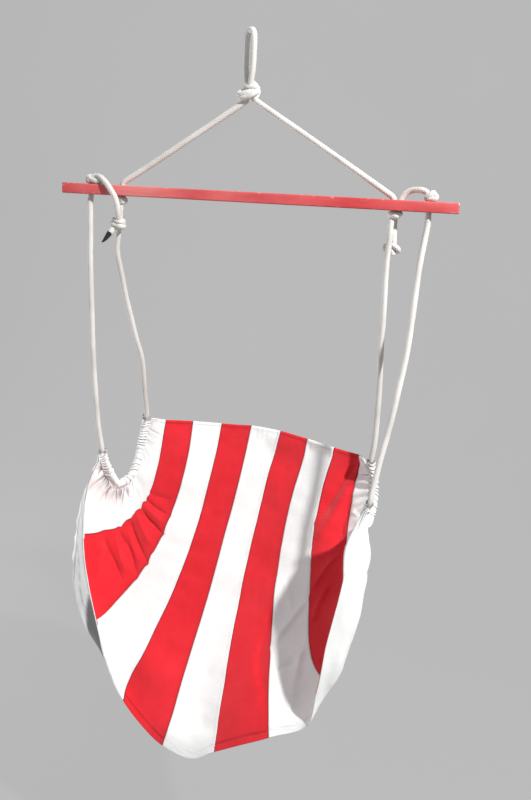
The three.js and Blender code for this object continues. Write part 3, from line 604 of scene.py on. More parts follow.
# ------------------------------------------------------------------ the cloth settles
def settle(p, v, steps):
    """Cloth cut longer than its casings along both sides: it buckles into puckers that run in from the rope."""
    n0 = grid_normals(p)
    seg = np.linalg.norm(np.diff(p, axis=0), axis=2)
    dl = np.concatenate([np.zeros((1, p.shape[1])), np.cumsum(seg, 0)])
    dr = dl[-1] - dl
    sl = np.concatenate([[0], np.cumsum(np.linalg.norm(np.diff(p[0], axis=0), axis=1))])
    sr = np.concatenate([[0], np.cumsum(np.linalg.norm(np.diff(p[-1], axis=0), axis=1))])
    env_l = 0.14 + 0.86 * ease(v, 0.40, 0.58) - 0.25 * ease(v, 0.88, 1.0)
    env_r = 0.55 + 0.3 * ease(v, 0.3, 0.6)
    x = p.copy()
    grow = np.ones(p.shape[:2])
    for side, (d, s, env) in enumerate(((dl, sl, env_l), (dr, sr, env_r))):
        rng = 40 * side
        out = np.zeros_like(d)
        for k, (wave, lo, mid, hi, amp) in enumerate(
            ((9.5, -6, 5, 30, 1.7), (19, 8, 26, 62, 2.6), (37, 34, 62, 130, 2.4), (70, 70, 120, 230, 1.6))
        ):
            w = np.where(d < mid, ease(d, lo, mid), 1 - ease(d, mid, hi))
            lean = d * 0.06 * np.sin(s / 31.0)[None, :]
            wig = noise_line(s[None, :] + lean, wave, 11 + k + rng)
            sharp = np.sign(wig) * np.abs(wig) ** 0.85
            out += w * amp * sharp
        x += n0 * (out * env[None, :] * ease(d, -3, 9))[..., None]
        grow += 0.40 * env[None, :] * np.exp(-((d / 46) ** 1.4))
    pu = p[1:] - p[:-1]
    pv = p[:, 1:] - p[:, :-1]
    gv = (grow[:, 1:] + grow[:, :-1]) / 2
    rest_u = np.linalg.norm(pu, axis=2)
    rest_v = np.linalg.norm(pv, axis=2) * gv
    e = ((pu**2).sum(-1)[:, 1:] + (pu**2).sum(-1)[:, :-1]) / 2
    gc = (gv[1:] + gv[:-1]) / 2
    g = ((pv**2).sum(-1)[1:] + (pv**2).sum(-1)[:-1]) / 2 * gc**2
    f = ((pu[:, 1:] + pu[:, :-1]) / 2 * (pv[1:] + pv[:-1]) / 2).sum(-1) * gc
    rest_a = np.sqrt(np.maximum(e + g + 2 * f, 1))
    rest_b = np.sqrt(np.maximum(e + g - 2 * f, 1))
    inv = np.ones(p.shape[:2])
    inv[0], inv[-1] = 0, 0
    nu, nv = p.shape[:2]
    bend0_v = (p[:, 2:] + p[:, :-2]) / 2 - p[:, 1:-1]
    bend0_u = (p[2:] + p[:-2]) / 2 - p[1:-1]

    def pull(sa, sb, rest, stiff):
        a, b = x[sa], x[sb]
        wa, wb = inv[sa], inv[sb]
        d = b - a
        length = np.sqrt((d * d).sum(-1))
        m = stiff * (length - rest) / (np.maximum(length, 1e-6) * np.maximum(wa + wb, 1e-6))
        x[sa] = a + d * (m * wa)[..., None]
        x[sb] = b - d * (m * wb)[..., None]

    al = slice(None)
    groups = []
    for o in (0, 1):
        n = (nv - 1 - o + 1) // 2
        groups.append(((al, slice(o, o + 2 * n, 2)), (al, slice(o + 1, o + 1 + 2 * n, 2)), rest_v[:, o::2][:, :n], 0.9))
        n = (nu - 1 - o + 1) // 2
        groups.append(((slice(o, o + 2 * n, 2), al), (slice(o + 1, o + 1 + 2 * n, 2), al), rest_u[o::2][:n], 0.9))
        n = (nu - 1 - o + 1) // 2
        a0, a1 = slice(o, o + 2 * n, 2), slice(o + 1, o + 1 + 2 * n, 2)
        groups.append(((a0, slice(0, -1)), (a1, slice(1, None)), rest_a[o::2][:n], 0.35))
        groups.append(((a1, slice(0, -1)), (a0, slice(1, None)), rest_b[o::2][:n], 0.35))
    near = np.exp(-np.minimum(dl, dr) / 60.0)
    hold = (0.012 - 0.009 * near) * inv
    for _ in range(steps):
        for sa, sb, rest, stiff in groups:
            pull(sa, sb, rest, stiff)
        db = ((x[:, 2:] + x[:, :-2]) / 2 - x[:, 1:-1] - bend0_v) * 0.10
        x[:, 1:-1] += db * inv[:, 1:-1, None]
        x[:, 2:] -= 0.5 * db * inv[:, 2:, None]
        x[:, :-2] -= 0.5 * db * inv[:, :-2, None]
        db = ((x[2:] + x[:-2]) / 2 - x[1:-1] - bend0_u) * 0.16
        x[1:-1] += db * inv[1:-1, :, None]
        x[2:] -= 0.5 * db * inv[2:, :, None]
        x[:-2] -= 0.5 * db * inv[:-2, :, None]
        x += (p - x) * hold[..., None]
    return x, dl, dr, sl, sr


def crease(p, n, x, points, height, width, skew=0.0, taper=0.28, sharp=1.3):
    """Push a fold into x along a line given as (u, v) points. Heights towards the sitter, millimetres."""
    pts = np.asarray(points, float)
    t = np.linspace(0, 1, len(pts))
    q = np.linspace(0, 1, 60)
    uv = natural_spline(t, pts, q) if len(pts) > 2 else np.stack([np.interp(q, t, pts[:, k]) for k in (0, 1)], 1)
    line = surf(uv[:, 0], uv[:, 1])
    d = np.linalg.norm(p[:, :, None, :] - line[None, None], axis=-1)
    k = d.argmin(-1)
    near = np.take_along_axis(d, k[..., None], -1)[..., 0]
    tang = unit(np.gradient(line, axis=0))[k]
    away = p - line[k]
    side = np.sign((np.cross(tang, n) * away).sum(-1))
    w = width * (1 + skew * side)
    body = np.exp(-((near / w) ** sharp))
    along = q[k]
    end = ease(along, 0, taper) * (1 - ease(along, 1 - taper, 1)) if taper else 1.0
    over = (away * tang).sum(-1)
    fade = np.exp(-((np.abs(over) / (0.8 * width)) ** 2)) if taper else 1.0
    x += n * (height * body * end * fade)[..., None]


# puckers pinched by the casing's stitches: where along the casing they are close and deep (v, weight)
GATHER_LEFT = ((0.0, 0.35), (0.10, 0.40), (0.20, 0.15), (0.42, 0.15), (0.50, 0.8), (0.56, 1.0), (0.80, 1.0), (0.90, 0.6), (1.0, 0.5))
GATHER_RIGHT = ((0.0, 0.40), (0.2, 0.45), (0.45, 0.5), (0.7, 0.7), (0.9, 0.8), (1.0, 0.5))


def gathers(d, s, v, table, seed):
    """Height of puckers that run in from a casing, and how much painted shade each point takes in their valleys.

    d is the distance from the casing's stitches (columns, rows), s the length along it and v the place, a row each.
    """
    rng = np.random.default_rng(seed)
    vt, wt = np.array(table).T
    weight = np.interp(v, vt, wt)
    puff = 3.1 * weight[None, :] * ease(d, -1, 9) * (1 - ease(d, 12, 58))
    cut = np.zeros_like(d)
    deep = np.zeros_like(d)
    at = 3.0
    while at < s[-1] - 3.0:
        strong = np.interp(np.interp(at, s, v), vt, wt)
        reach = (16 + 58 * rng.random() ** 1.8) * (0.45 + 0.55 * strong)
        depth = (1.7 + 2.2 * rng.random()) * strong
        wide = 0.95 + 0.75 * rng.random()
        lean, curl = rng.uniform(-0.10, 0.10), rng.uniform(-5.0, 5.0)
        off = s[None, :] - at - lean * d - curl * (d / 60.0) ** 2
        grow = 1 + 0.016 * d
        line = np.exp(-((np.abs(off) / (wide * grow)) ** 1.3))
        fade = ease(d, -4, 3) * (1 - ease(d, reach * 0.35, reach))
        cut = np.maximum(cut, depth * line * fade)
        # painted shade along each pucker's valley
        deep = np.maximum(deep, strong * (0.55 + 0.45 * rng.random()) * np.exp(-((np.abs(off) / (1.05 * wide)) ** 2)) * fade)
        at += (3.9 + 4.2 * rng.random()) / (0.35 + 0.65 * strong)
    return puff - np.minimum(cut, puff + 0.8), deep


CREASES = (
    # points (u, v), height, width, skew, sharp
    (((1.10, 0.708), (1.27, 0.698), (1.54, 0.684), (1.86, 0.694)), -8.5, 8, 0.5, 1.0),
    (((1.08, 0.715), (1.31, 0.746), (1.60, 0.800)), 4.5, 9, 0.2, 1.2),
    (((1.04, 0.614), (1.22, 0.622), (1.45, 0.602), (1.78, 0.614), (2.05, 0.640)), -8.0, 8, 0.5, 1.0),
    (((1.02, 0.655), (1.40, 0.655), (1.80, 0.662)), 5.5, 10, 0.2, 1.3),
    (((1.00, 0.550), (1.25, 0.558), (1.56, 0.556), (2.12, 0.570)), -9.5, 8, 0.5, 1.0),
    (((1.00, 0.582), (1.40, 0.585), (1.90, 0.595)), 5.0, 10, 0.2, 1.3),
    (((0.90, 0.482), (1.36, 0.462), (1.67, 0.448), (2.15, 0.446)), -10.5, 9, 0.5, 1.0),
    (((0.96, 0.512), (1.40, 0.508), (1.90, 0.510)), 6.5, 11, 0.2, 1.3),
    (((0.90, 0.436), (1.40, 0.400), (1.98, 0.370)), -7.5, 8, 0.5, 1.0),
    (((0.92, 0.458), (1.40, 0.428), (1.90, 0.410)), 5.0, 9, 0.2, 1.3),
    (((0.92, 0.400), (1.40, 0.348), (1.95, 0.312)), -5.5, 9, 0.4, 1.1),
    (((7.02, 0.575), (6.49, 0.646), (5.98, 0.725)), 7.0, 11, 0.55, 1.0),
    (((7.02, 0.722), (6.54, 0.830), (6.20, 0.965)), 7.5, 10, 0.55, 1.0),
    (((6.02, 0.806), (6.34, 0.784), (6.75, 0.770)), -4.5, 10, 0.2, 1.3),
    (((6.30, 0.50), (6.45, 0.56), (6.60, 0.64)), 3.0, 9, 0.3, 1.2),
    (((6.02, 0.625), (5.78, 0.694), (5.71, 0.756), (5.84, 0.835), (5.98, 0.950)), -6.5, 12, -0.5, 1.1),
    (((7.98, 0.010), (7.62, 0.102), (7.37, 0.208), (7.06, 0.300)), -11.0, 15, 0.2, 1.7),
    (((7.95, 0.100), (7.70, 0.234), (7.39, 0.322), (7.02, 0.410)), 9.5, 15, 0.2, 1.7),
    (((7.98, 0.160), (7.90, 0.300), (7.72, 0.420)), -8.0, 9, 0.4, 1.0),
    (((7.90, 0.445), (7.40, 0.502), (7.02, 0.560)), 5.5, 8, 0.5, 1.0),
    (((7.60, 0.545), (7.30, 0.610), (7.10, 0.700)), 5.0, 7, 0.5, 1.0),
    (((8.05, 0.070), (8.35, 0.090), (8.70, 0.115)), 3.5, 6, 0.4, 1.1),
    (((8.05, 0.270), (8.22, 0.290), (8.45, 0.330)), 3.5, 6, 0.4, 1.1),
    (((7.95, 0.452), (8.15, 0.410), (8.38, 0.370)), 4.0, 6, 0.4, 1.1),
    (((7.90, 0.90), (8.35, 0.80), (8.75, 0.66)), 4.5, 12, 0.3, 1.1),
    (((0.12, 0.83), (0.17, 0.91), (0.24, 0.995)), -9.0, 10, 0.3, 1.1),
    (((0.55, 0.800), (0.25, 0.785), (0.04, 0.812)), -6.0, 7, 0.4, 1.0),
    (((2.2, 0.30), (2.6, 0.42), (2.9, 0.60)), 2.2, 26, 0.0, 1.8),
    (((4.1, 0.86), (4.5, 0.93), (4.9, 0.965)), 2.0, 20, 0.0, 1.8),
    (((5.1, 0.10), (5.4, 0.17), (5.7, 0.27)), 2.6, 18, 0.2, 1.5),
)

SEAM_KINKS = (
    # u, v, millimetres towards the right, width in v
    (1.0, 0.706, -2.6, 0.020), (1.0, 0.652, 1.5, 0.016), (1.0, 0.616, 4.6, 0.009), (1.0, 0.583, -2.4, 0.014),
    (1.0, 0.552, 2.0, 0.008), (1.0, 0.512, -2.6, 0.014), (1.0, 0.480, 5.0, 0.009), (1.0, 0.455, -2.6, 0.010),
    (1.0, 0.434, 4.6, 0.008), (1.0, 0.398, 3.0, 0.008), (2.0, 0.640, 2.0, 0.012), (2.0, 0.572, 4.2, 0.009),
    (2.0, 0.540, -2.4, 0.014), (2.0, 0.446, 2.6, 0.010), (2.0, 0.372, 1.8, 0.010), (7.0, 0.575, -2.0, 0.012),
    (6.0, 0.722, -2.4, 0.012), (7.0, 0.410, -2.2, 0.010), (8.0, 0.450, 2.2, 0.010), (7.0, 0.300, -2.6, 0.012),
)


def fine_rows(x, rows):
    return natural_spline(np.arange(x.shape[1]), x.transpose(1, 0, 2), rows).transpose(1, 0, 2)


def at_index(grid, where):
    """Catmull-Rom along the first axis at real indices, one set a row: where is (m, rows)."""
    n = grid.shape[0]
    k = np.clip(np.floor(where).astype(int), 0, n - 2)
    f = (where - k)[..., None]
    r = np.broadcast_to(np.arange(grid.shape[1]), where.shape)

    def g(i):
        return grid[np.clip(i, 0, n - 1), r]

    p0, p1, p2, p3 = g(k - 1), g(k), g(k + 1), g(k + 2)
    p0 = np.where((k == 0)[..., None], 2 * p1 - p2, p0)
    p3 = np.where((k == n - 2)[..., None], 2 * p2 - p1, p3)
    return hermite(p1, p2, (p2 - p0) / 2, (p3 - p1) / 2, f)


class Seat:
    def __init__(self):
        self.a, self.v, self.p = base_grid()
        x, *_ = settle(self.p[:, ::2], self.v[::2], 420)
        moved = x - self.p[:, ::2]
        self.x = self.p + natural_spline(np.arange(0, ROWS_V, 2), moved.transpose(1, 0, 2), np.arange(ROWS_V)).transpose(1, 0, 2)
        seg = np.linalg.norm(np.diff(self.p, axis=0), axis=2)
        self.dl = np.concatenate([np.zeros((1, ROWS_V)), np.cumsum(seg, 0)])
        self.dr = self.dl[-1] - self.dl
        self.sl, self.sr = (
            np.concatenate([[0], np.cumsum(np.linalg.norm(np.diff(self.p[k], axis=0), axis=1))]) for k in (0, -1)
        )
        n = grid_normals(self.p)
        for points, height, width, skew, sharp in CREASES:
            crease(self.p, n, self.x, points, height, width, skew, sharp=sharp)
        # the last two stripes on the right fold back along the seam between them
        off = self.dr - self.dr[8 * PER]
        span = np.maximum(self.dr[8 * PER], 1.0)
        back = np.where(off < 0, 1 + off / span, np.exp(-((np.maximum(off, 0) / 34) ** 1.6)))
        deep = 12.5 * (1 - ease(self.v, 0.44, 0.64))
        self.x -= n * (deep[None, :] * np.maximum(back, 0))[..., None]
        # seams pulled out of line where a fold crosses them
        slide = unit(np.gradient(self.p, axis=0))
        for u, v, amount, width in SEAM_KINKS:
            spot = np.exp(-((np.abs(self.a - u) / 0.22) ** 1.5) - (np.abs(self.v[None, :] - v) / width) ** 1.4)
            self.x += slide * (amount * spot)[..., None]
        # slow rise and fall of hand-sewn cloth between its seams
        wide = np.cumsum(np.concatenate([[0], np.linalg.norm(np.diff(self.p[:, 60], axis=0), axis=1)]))
        self.lv = np.concatenate(
            [np.zeros((NU, 1)), np.cumsum(np.linalg.norm(np.diff(self.p, axis=1), axis=2), 1)], 1
        )
        middle = np.minimum(1, np.minimum(self.dl, self.dr) / 60)
        for seed, wave, amp in ((3, 210, 1.3), (4, 120, 0.8), (5, 64, 0.4)):
            bump = noise_line(self.lv + 0.7 * wide[:, None], wave, seed) * noise_line(
                wide[:, None] - 0.35 * self.lv, wave * 1.1, seed + 20
            )
            self.x += n * (amp * bump * middle)[..., None]
        # the front hem rolls outward where it is nearest the right corner
        away = self.lv[:, -1:] - self.lv
        roll = ease(self.a, 5.9, 6.3) * (1 - ease(self.a, 7.2, 7.6)) * (1 - ease(away, 0, 26))
        self.x -= n * (7.0 * roll)[..., None]
        # the right part of the front hem stands forward
        lip = ease(self.a, 6.7, 7.3) * (1 - ease(self.a, 8.2, 8.7)) * ease(self.v, 0.80, 0.97)[None, :]
        self.x[..., 1] -= 13.0 * lip
        lean = (0.3 * ease(self.a, 4.0, 4.4) + 0.35 * ease(self.a, 4.9, 5.15) + 0.35 * ease(self.a, 5.9, 6.1)) * (1 - 0.75 * ease(self.a, 6.9, 7.1) * (1 - ease(self.a, 7.9, 8.1)))
        self.x += n * (11.0 * lean * (1 - ease(self.lv, 0, 27 + 40 * (ease(self.a, 4.4, 5.0) - ease(self.a, 5.9, 6.1)))))[..., None]
        tang = unit(np.gradient(self.p, axis=1))
        self.x -= tang * (2.5 * roll)[..., None]

    def rows(self, count):
        """Real row indices with extra rows near both hems."""
        mid = np.linspace(0.045, 0.955, count)
        end = np.array([0, 0.0015, 0.004, 0.008, 0.0115, 0.0145, 0.0175, 0.022, 0.028, 0.035])
        return np.concatenate([end, mid, 1 - end[::-1]]) * (ROWS_V - 1)


HEM_FRONT, HEM_REAR, LAP = 18.0, 9.0, 6.5


def hem_height(d_rear, d_front):
    """Extra height of the inner face over both hems, with the dip of its stitch line."""
    out = np.zeros_like(d_rear)
    for d, wide, tall in ((d_rear, HEM_REAR, 0.8), (d_front, HEM_FRONT, 1.0)):
        out = np.maximum(out, tall * (1 - ease(d, wide - 0.2, wide + 1.2)) * (0.35 + 0.65 * ease(d, -0.5, 2.2)))
        out = out - 0.95 * np.exp(-(((d - (wide - 2.0)) / 1.1) ** 2))
    return out


def seam_height(d_left, d_right, first, last):
    """Felled seams: a groove at each join, a lap on the left stripe's right side, and its second stitch line."""
    out = np.zeros_like(d_left)
    if not first:
        out -= 1.15 * np.exp(-((d_left / 0.9) ** 2))
    if not last:
        out -= 1.15 * np.exp(-((d_right / 0.9) ** 2))
        out += 0.42 * (1 - ease(d_right, LAP + 0.4, LAP + 1.6))
        out -= 0.38 * np.exp(-(((d_right - (LAP - 1.2)) / 0.7) ** 2))
    return out


def closed_sheet(name, top, bottom, uv, mats, fold=None):
    """A closed thin solid from two grids of one shape (m, n, 3) in millimetres."""
    m, n = top.shape[:2]
    idx = np.arange(m * n).reshape(m, n)
    a, b, c, d = idx[:-1, :-1], idx[:-1, 1:], idx[1:, 1:], idx[1:, :-1]
    up = np.stack([a, b, c, d], -1).reshape(-1, 4)
    dn = np.stack([a, d, c, b], -1).reshape(-1, 4) + m * n
    rim = np.concatenate([idx[0, :-1], idx[:-1, -1], idx[-1, :0:-1], idx[:0:-1, 0]])
    nxt = np.roll(rim, -1)
    side = np.stack([nxt, rim, rim + m * n, nxt + m * n], -1)
    verts = np.concatenate([top.reshape(-1, 3), bottom.reshape(-1, 3)]) * MM
    uvs = np.concatenate([uv.reshape(-1, 2), uv.reshape(-1, 2)])
    ob = mesh_object(name, verts, np.concatenate([up, dn, side]), mats, uv=uvs)
    # painted shade for folds and seams, the same on both faces
    if fold is not None:
        mark_painted_shade(ob, np.concatenate([fold.ravel(), fold.ravel()]))
    return ob


def mark_painted_shade(ob, values):
    """How much painted shade each point takes in a fold, a hollow, a seam's groove or a stitch line, 0 to 1, stored on
    the mesh.
    """
    layer = ob.data.attributes.new("fold", "FLOAT", "POINT")
    layer.data.foreach_set("value", np.clip(values, 0, 1).astype(np.float32))


def make_stripes(seat, mats):
    made = []
    held = {}
    for s in range(9):
        count = (210) if 2 <= s <= 6 else (640)
        if count not in held:
            rows = seat.rows(count)
            fine = fine_rows(seat.x, rows)
            lv = natural_spline(np.arange(ROWS_V), seat.lv.T, rows).T
            nrm = grid_normals(fine)
            seg = np.linalg.norm(np.diff(fine_rows(seat.p, rows), axis=0), axis=2)
            across = np.concatenate([np.zeros((1, len(rows))), np.cumsum(seg, 0)])
            run = np.cumsum(np.concatenate([np.zeros((1, len(rows))), np.linalg.norm(np.diff(fine, axis=0), axis=2)]), 0)
            held[count] = rows, fine, lv, nrm, across, run
        rows, fine, lv, nrm, across, run = held[count]
        lo, hi = s * PER, (s + 1) * PER
        wide = across[hi] - across[lo]
        near = np.array([0, 0.7, 1.6, 3.4, 5.0, 5.6, 6.8, 8.2, 10.0])
        cols = 20
        w = np.concatenate(
            [
                np.repeat(near[:, None], len(rows), 1),
                10.0 + (wide[None, :] - 20.0) * np.linspace(0, 1, cols)[1:-1, None],
                wide[None, :] - near[::-1][:, None],
            ]
        )
        where = np.stack(
            [np.interp(w[:, j] + across[lo, j], across[:, j], np.arange(NU)) for j in range(len(rows))], 1
        )
        pos = at_index(fine, where)
        nn = unit(at_index(nrm, where))
        here_l = at_index(lv[..., None], where)[..., 0]
        total = at_index(np.repeat(lv[:, -1:, None], len(rows), 1), where)[..., 0]
        d_rear, d_front = here_l, total - here_l
        d_left, d_right = w, wide[None, :] - w
        extra = hem_height(d_rear, d_front) + seam_height(d_left, d_right, s == 0, s == 8)
        along = at_index(run[..., None], where)[..., 0]
        # small gathers held by the hem stitching
        zone = np.exp(-((d_rear / 16) ** 2)) + 0.6 * np.exp(-(((d_front - 14) / 16) ** 2))
        pos = pos + nn * (0.42 * zone * noise_line(along, 10.0, 60 + s))[..., None]
        # puckers pinched by the casing's stitches, with painted shade in their valleys
        fold = np.zeros_like(w)
        if s in (0, 1, 7, 8):
            left = s < 2
            way = seat.sl if left else seat.sr
            sv = np.interp(rows, np.arange(ROWS_V), way)
            vv = rows / (ROWS_V - 1)
            far = across[lo][None, :] + w if left else across[-1][None, :] - across[lo][None, :] - w
            rise, pucker_shade = gathers(far, sv, vv, GATHER_LEFT if left else GATHER_RIGHT, 5 if left else 6)
            pos = pos + nn * rise[..., None]
            fold = np.maximum(fold, pucker_shade)
            if s == 0:
                # painted shade in a hollow beside the left casing near the front
                hollow_shade = np.exp(-(((far - 13) / 9) ** 2)) * (ease(vv, 0.83, 0.90) * (1 - ease(vv, 0.955, 0.985)))[None, :]
                fold = np.maximum(fold, 0.20 * hollow_shade)
        # painted shade along each seam's join and along both hems' stitch lines, stronger on the red stripes
        dark = 0.5 if s % 2 else 0.16
        line = np.zeros_like(w)
        for d, skip in ((d_left, s == 0), (d_right, s == 8)):
            if not skip:
                line = np.maximum(line, 1 - ease(d, 0.9, 2.6))
        line = np.maximum(line, (0.8 if s % 2 else 0.35) * np.exp(-(((d_front - (HEM_FRONT - 2)) / 1.5) ** 2)))
        line = np.maximum(line, 0.6 * np.exp(-(((d_rear - (HEM_REAR - 2)) / 1.3) ** 2)))
        fold = np.maximum(fold, dark * line)
        shift = np.where(w < wide[None, :] / 2, 1, -1) * 0.12 * (np.minimum(w, wide[None, :] - w) < 0.3)
        du = unit(np.gradient(pos, axis=0))
        pos = pos + du * shift[..., None]
        top = pos + nn * (0.5 + np.maximum(extra, -1.05))[..., None]
        edge_in = 0.35 * np.exp(-((np.minimum(d_rear, d_front) / 0.8) ** 2))
        dip = np.maximum(0.0, -0.3 - extra) * 0.75
        bottom = pos - nn * (0.45 - edge_in + dip)[..., None]
        uv = np.stack([(w - wide[None, :] / 2) * MM + 0.13 * s, here_l * MM], -1)
        white = s % 2 == 0
        name = f"stripe_{s + 1}_{'white' if white else 'red'}"
        ob = closed_sheet(
            name + "_cloth", top, bottom, uv, [mats["white" if white else "red"]], fold
        )
        made.append((ob, name, s, pos, nn, w, wide, here_l, total, where))
    return made, fine, nrm, across, lv, rows


def make_lining(seat, mats):
    rows = seat.rows(150)
    fine = fine_rows(seat.x, rows)
    nrm = grid_normals(fine)
    lv = natural_spline(np.arange(ROWS_V), seat.lv.T, rows).T
    per = 2
    where = np.repeat(np.linspace(0, NU - 1, (NU - 1) * per + 1)[:, None], len(rows), 1)
    pos, nn = at_index(fine, where), unit(at_index(nrm, where))
    d = at_index(lv[..., None], where)[..., 0]
    total = at_index(np.repeat(lv[:, -1:, None], len(rows), 1), where)[..., 0]
    dl = at_index(natural_spline(np.arange(ROWS_V), seat.dl.T, rows).T[..., None], where)[..., 0]
    dr = at_index(natural_spline(np.arange(ROWS_V), seat.dr.T, rows).T[..., None], where)[..., 0]
    inner = np.minimum(np.minimum(d, total - d) / 40, np.minimum(dl, dr) / 50)
    loose = ease(inner, 0.15, 1.3)
    mix = dl + 0.4 * d
    sag = (
        0.5
        + 1.0 * noise_line(mix, 150, 81) * noise_line(d - 0.3 * dl, 190, 82)
        + 0.7 * noise_line(dl - 0.5 * d, 66, 83) * noise_line(d, 90, 84)
    )
    out = 1.1 + np.maximum(sag, 0.0) * loose
    # long creases beside the front hem
    edge = total - d
    lining_shade = np.zeros_like(d)
    for k, (place, slope, tall, width, start, stop) in enumerate(
        ((15, 0.05, 1.8, 2.6, 20, 420), (29, -0.03, 3.0, 3.4, 40, 330), (46, 0.07, 2.4, 4.0, 60, 380), (70, -0.06, 2.0, 5.0, 30, 300), (100, 0.04, 2.0, 6.0, 60, 420))
    ):
        mid = place + slope * (dl - 150) + 5.0 * noise_line(dl, 130, 90 + k)
        reach = ease(dl, start, start + 50) * (1 - ease(dl, stop - 90, stop)) * (0.55 + 0.45 * noise_line(dl, 95, 97 + k) ** 2)
        out = out + tall * reach * np.exp(-((np.abs(edge - mid) / width) ** 1.2)) * ease(edge, 2, 14)
        # painted shade in a line beside each crease
        lining_shade = np.maximum(lining_shade, 0.48 * reach * np.exp(-(((edge - mid - 1.5 * width) / (0.55 * width)) ** 2)))
    # the lining takes its own hem
    hem = np.maximum(0.5 * (1 - ease(total - d, HEM_FRONT, HEM_FRONT + 1.5)), 0.4 * (1 - ease(d, HEM_REAR, HEM_REAR + 1.5)))
    hem = hem * (0.2 + 0.8 * ease(np.minimum(d, total - d), -0.5, 2.0))
    thick = 0.8 + hem
    # shaded hollows behind the hem's edge
    low = ease(dl, 105, 165) * (1 - ease(dl, 380, 440)) * ease(edge, 0.8, 2.0) * (1 - ease(edge, 3.2, 6))
    high = ease(dl, 36, 50) * (1 - ease(dl, 105, 130)) * (1 - ease(edge, 1.6, 3.4))
    lining_shade = np.maximum(lining_shade, np.maximum(0.42 * low * (0.75 + 0.25 * noise_line(dl, 60, 108)), 0.5 * high))
    # painted shade on the side that turns beneath, towards the bottom, and a painted dark line where the side turns
    # away
    turn = np.interp(dl, (60, 117, 152, 188, 225, 261, 296, 330, 407, 446, 481, 517, 560), (14, 17, 25, 29, 32, 43, 56, 60, 57, 44, 17, 9, 4))
    underside_shade = ease(dl, 318, 350) * (1 - ease(dl, 560, 600)) * ease(edge, 0.8, 2.2)
    underside_shade = underside_shade * (1 - ease(edge, np.maximum(turn * (dl - 322) / 115, 1.0), np.maximum(turn * (dl - 322) / 115, 1.0) + 6.5))
    crease = np.exp(-(((edge - turn - 0.5) / 3.2) ** 2)) * ease(dl, 70, 120) * (1 - ease(dl, 470, 520))
    lining_shade = np.maximum(lining_shade, np.maximum(0.84 * underside_shade, 0.52 * crease))
    bottom = pos - nn * (out + thick)[..., None]
    top = pos - nn * (out - 0.1 * 0)[..., None]
    uv = np.stack([dl * MM, d * MM], -1)
    ob = closed_sheet("outer_lining_cloth", top, bottom, uv, [mats["lining"]], lining_shade)
    return ob


def make_casing(seat, side, mats):
    """A tube of cloth gathered on the rope, with a ruffled mouth at both ends."""
    name = "rope_casing_left" if side < 0 else "rope_casing_right"
    steps = 330
    v = np.linspace(0, 1, 601)
    c = surf(0.0 if side < 0 else 9.0, v)
    s_all = np.concatenate([[0], np.cumsum(np.linalg.norm(np.diff(c, axis=0), axis=1))])
    total = s_all[-1]
    s = np.linspace(0.0, total, steps)
    vv = np.interp(s, s_all, v)
    _, c, t, d = edge_points(side, vv)
    n = unit(np.cross(t, d)) if side < 0 else unit(np.cross(d, t))
    around = 44
    th = np.linspace(0, 2 * np.pi, around + 1)[:-1]
    cs, sn = np.cos(th)[None, :], np.sin(th)[None, :]
    toward = np.maximum(cs, 0)
    seed = 200 + 10 * (side > 0)
    # ridges run round the rope, each a little off square
    phase = s[:, None] + 2.2 * np.sin(th + 1.1)[None, :] + 1.4 * np.sin(2 * th + s[:, None] / 23.0)
    ridge = noise_line(phase, 7.2, seed, 0.3) * 0.9 + 0.5 * noise_line(phase * 1.0 + 2.0 * sn, 12.5, seed + 1, 0.4)
    ridge = np.where(ridge > 0, ridge, ridge * 0.7)
    end = np.minimum(s, total - s)
    mouth = np.exp(-((end / 5.5) ** 2))[:, None]
    r = 8.0 + 1.45 * ridge * (1 - 0.35 * toward**2) + mouth * (0.8 + 2.0 * noise_line(th[None, :] * 3.2 + seed, 3.2, seed + 2) )
    x = r * cs * (1 + 0.42 * toward**5)
    y = r * sn * (1 - 0.52 * toward**2)
    lipshift = mouth * (3.2 + 2.2 * noise_line(th[None, :] * 2.1 + seed, 2.6, seed + 3)) * np.where(s < total / 2, -1, 1)[:, None]
    outer = c[:, None, :] + x[..., None] * d[:, None, :] + y[..., None] * n[:, None, :] + lipshift[..., None] * t[:, None, :]
    ri = np.maximum(r - 0.8, 6.5)
    xi, yi = ri * cs * (1 + 0.36 * toward**5), ri * sn * (1 - 0.5 * toward**2)
    inner = c[:, None, :] + xi[..., None] * d[:, None, :] + yi[..., None] * n[:, None, :] + (lipshift * 0.9)[..., None] * t[:, None, :]
    m, k = steps, around
    i, j = np.meshgrid(np.arange(m - 1), np.arange(k), indexing="ij")
    q = np.stack([i * k + j, (i + 1) * k + j, (i + 1) * k + (j + 1) % k, i * k + (j + 1) % k], -1).reshape(-1, 4)
    if side > 0:
        q = q[:, ::-1]
    o = m * k
    jj = np.arange(k)
    first = np.stack([jj, (jj + 1) % k, (jj + 1) % k + o, jj + o], -1)
    last = np.stack([jj + (m - 1) * k, jj + (m - 1) * k + o, (jj + 1) % k + (m - 1) * k + o, (jj + 1) % k + (m - 1) * k], -1)
    rims = np.concatenate([first, last])
    if side > 0:
        rims = rims[:, ::-1]
    quads = np.concatenate([q, q[:, ::-1] + o, rims])
    verts = np.concatenate([outer.reshape(-1, 3), inner.reshape(-1, 3)]) * MM
    uu = np.stack(np.broadcast_arrays(th[None, :] * 9 * MM, (s * 1.35 * MM)[:, None]), -1).reshape(-1, 2)
    ob = mesh_object(name + "_cloth", verts, quads, [mats["white"]], uv=np.concatenate([uu, uu]))
    # painted shade in the valleys between ridges and at both mouths, and over the whole inner face
    deep = np.clip(-ridge * 0.75 - 0.05, 0, 1) + 0.5 * mouth
    mark_painted_shade(ob, np.concatenate([deep.ravel(), np.full(deep.size, 0.6)]))
    return ob, name, total


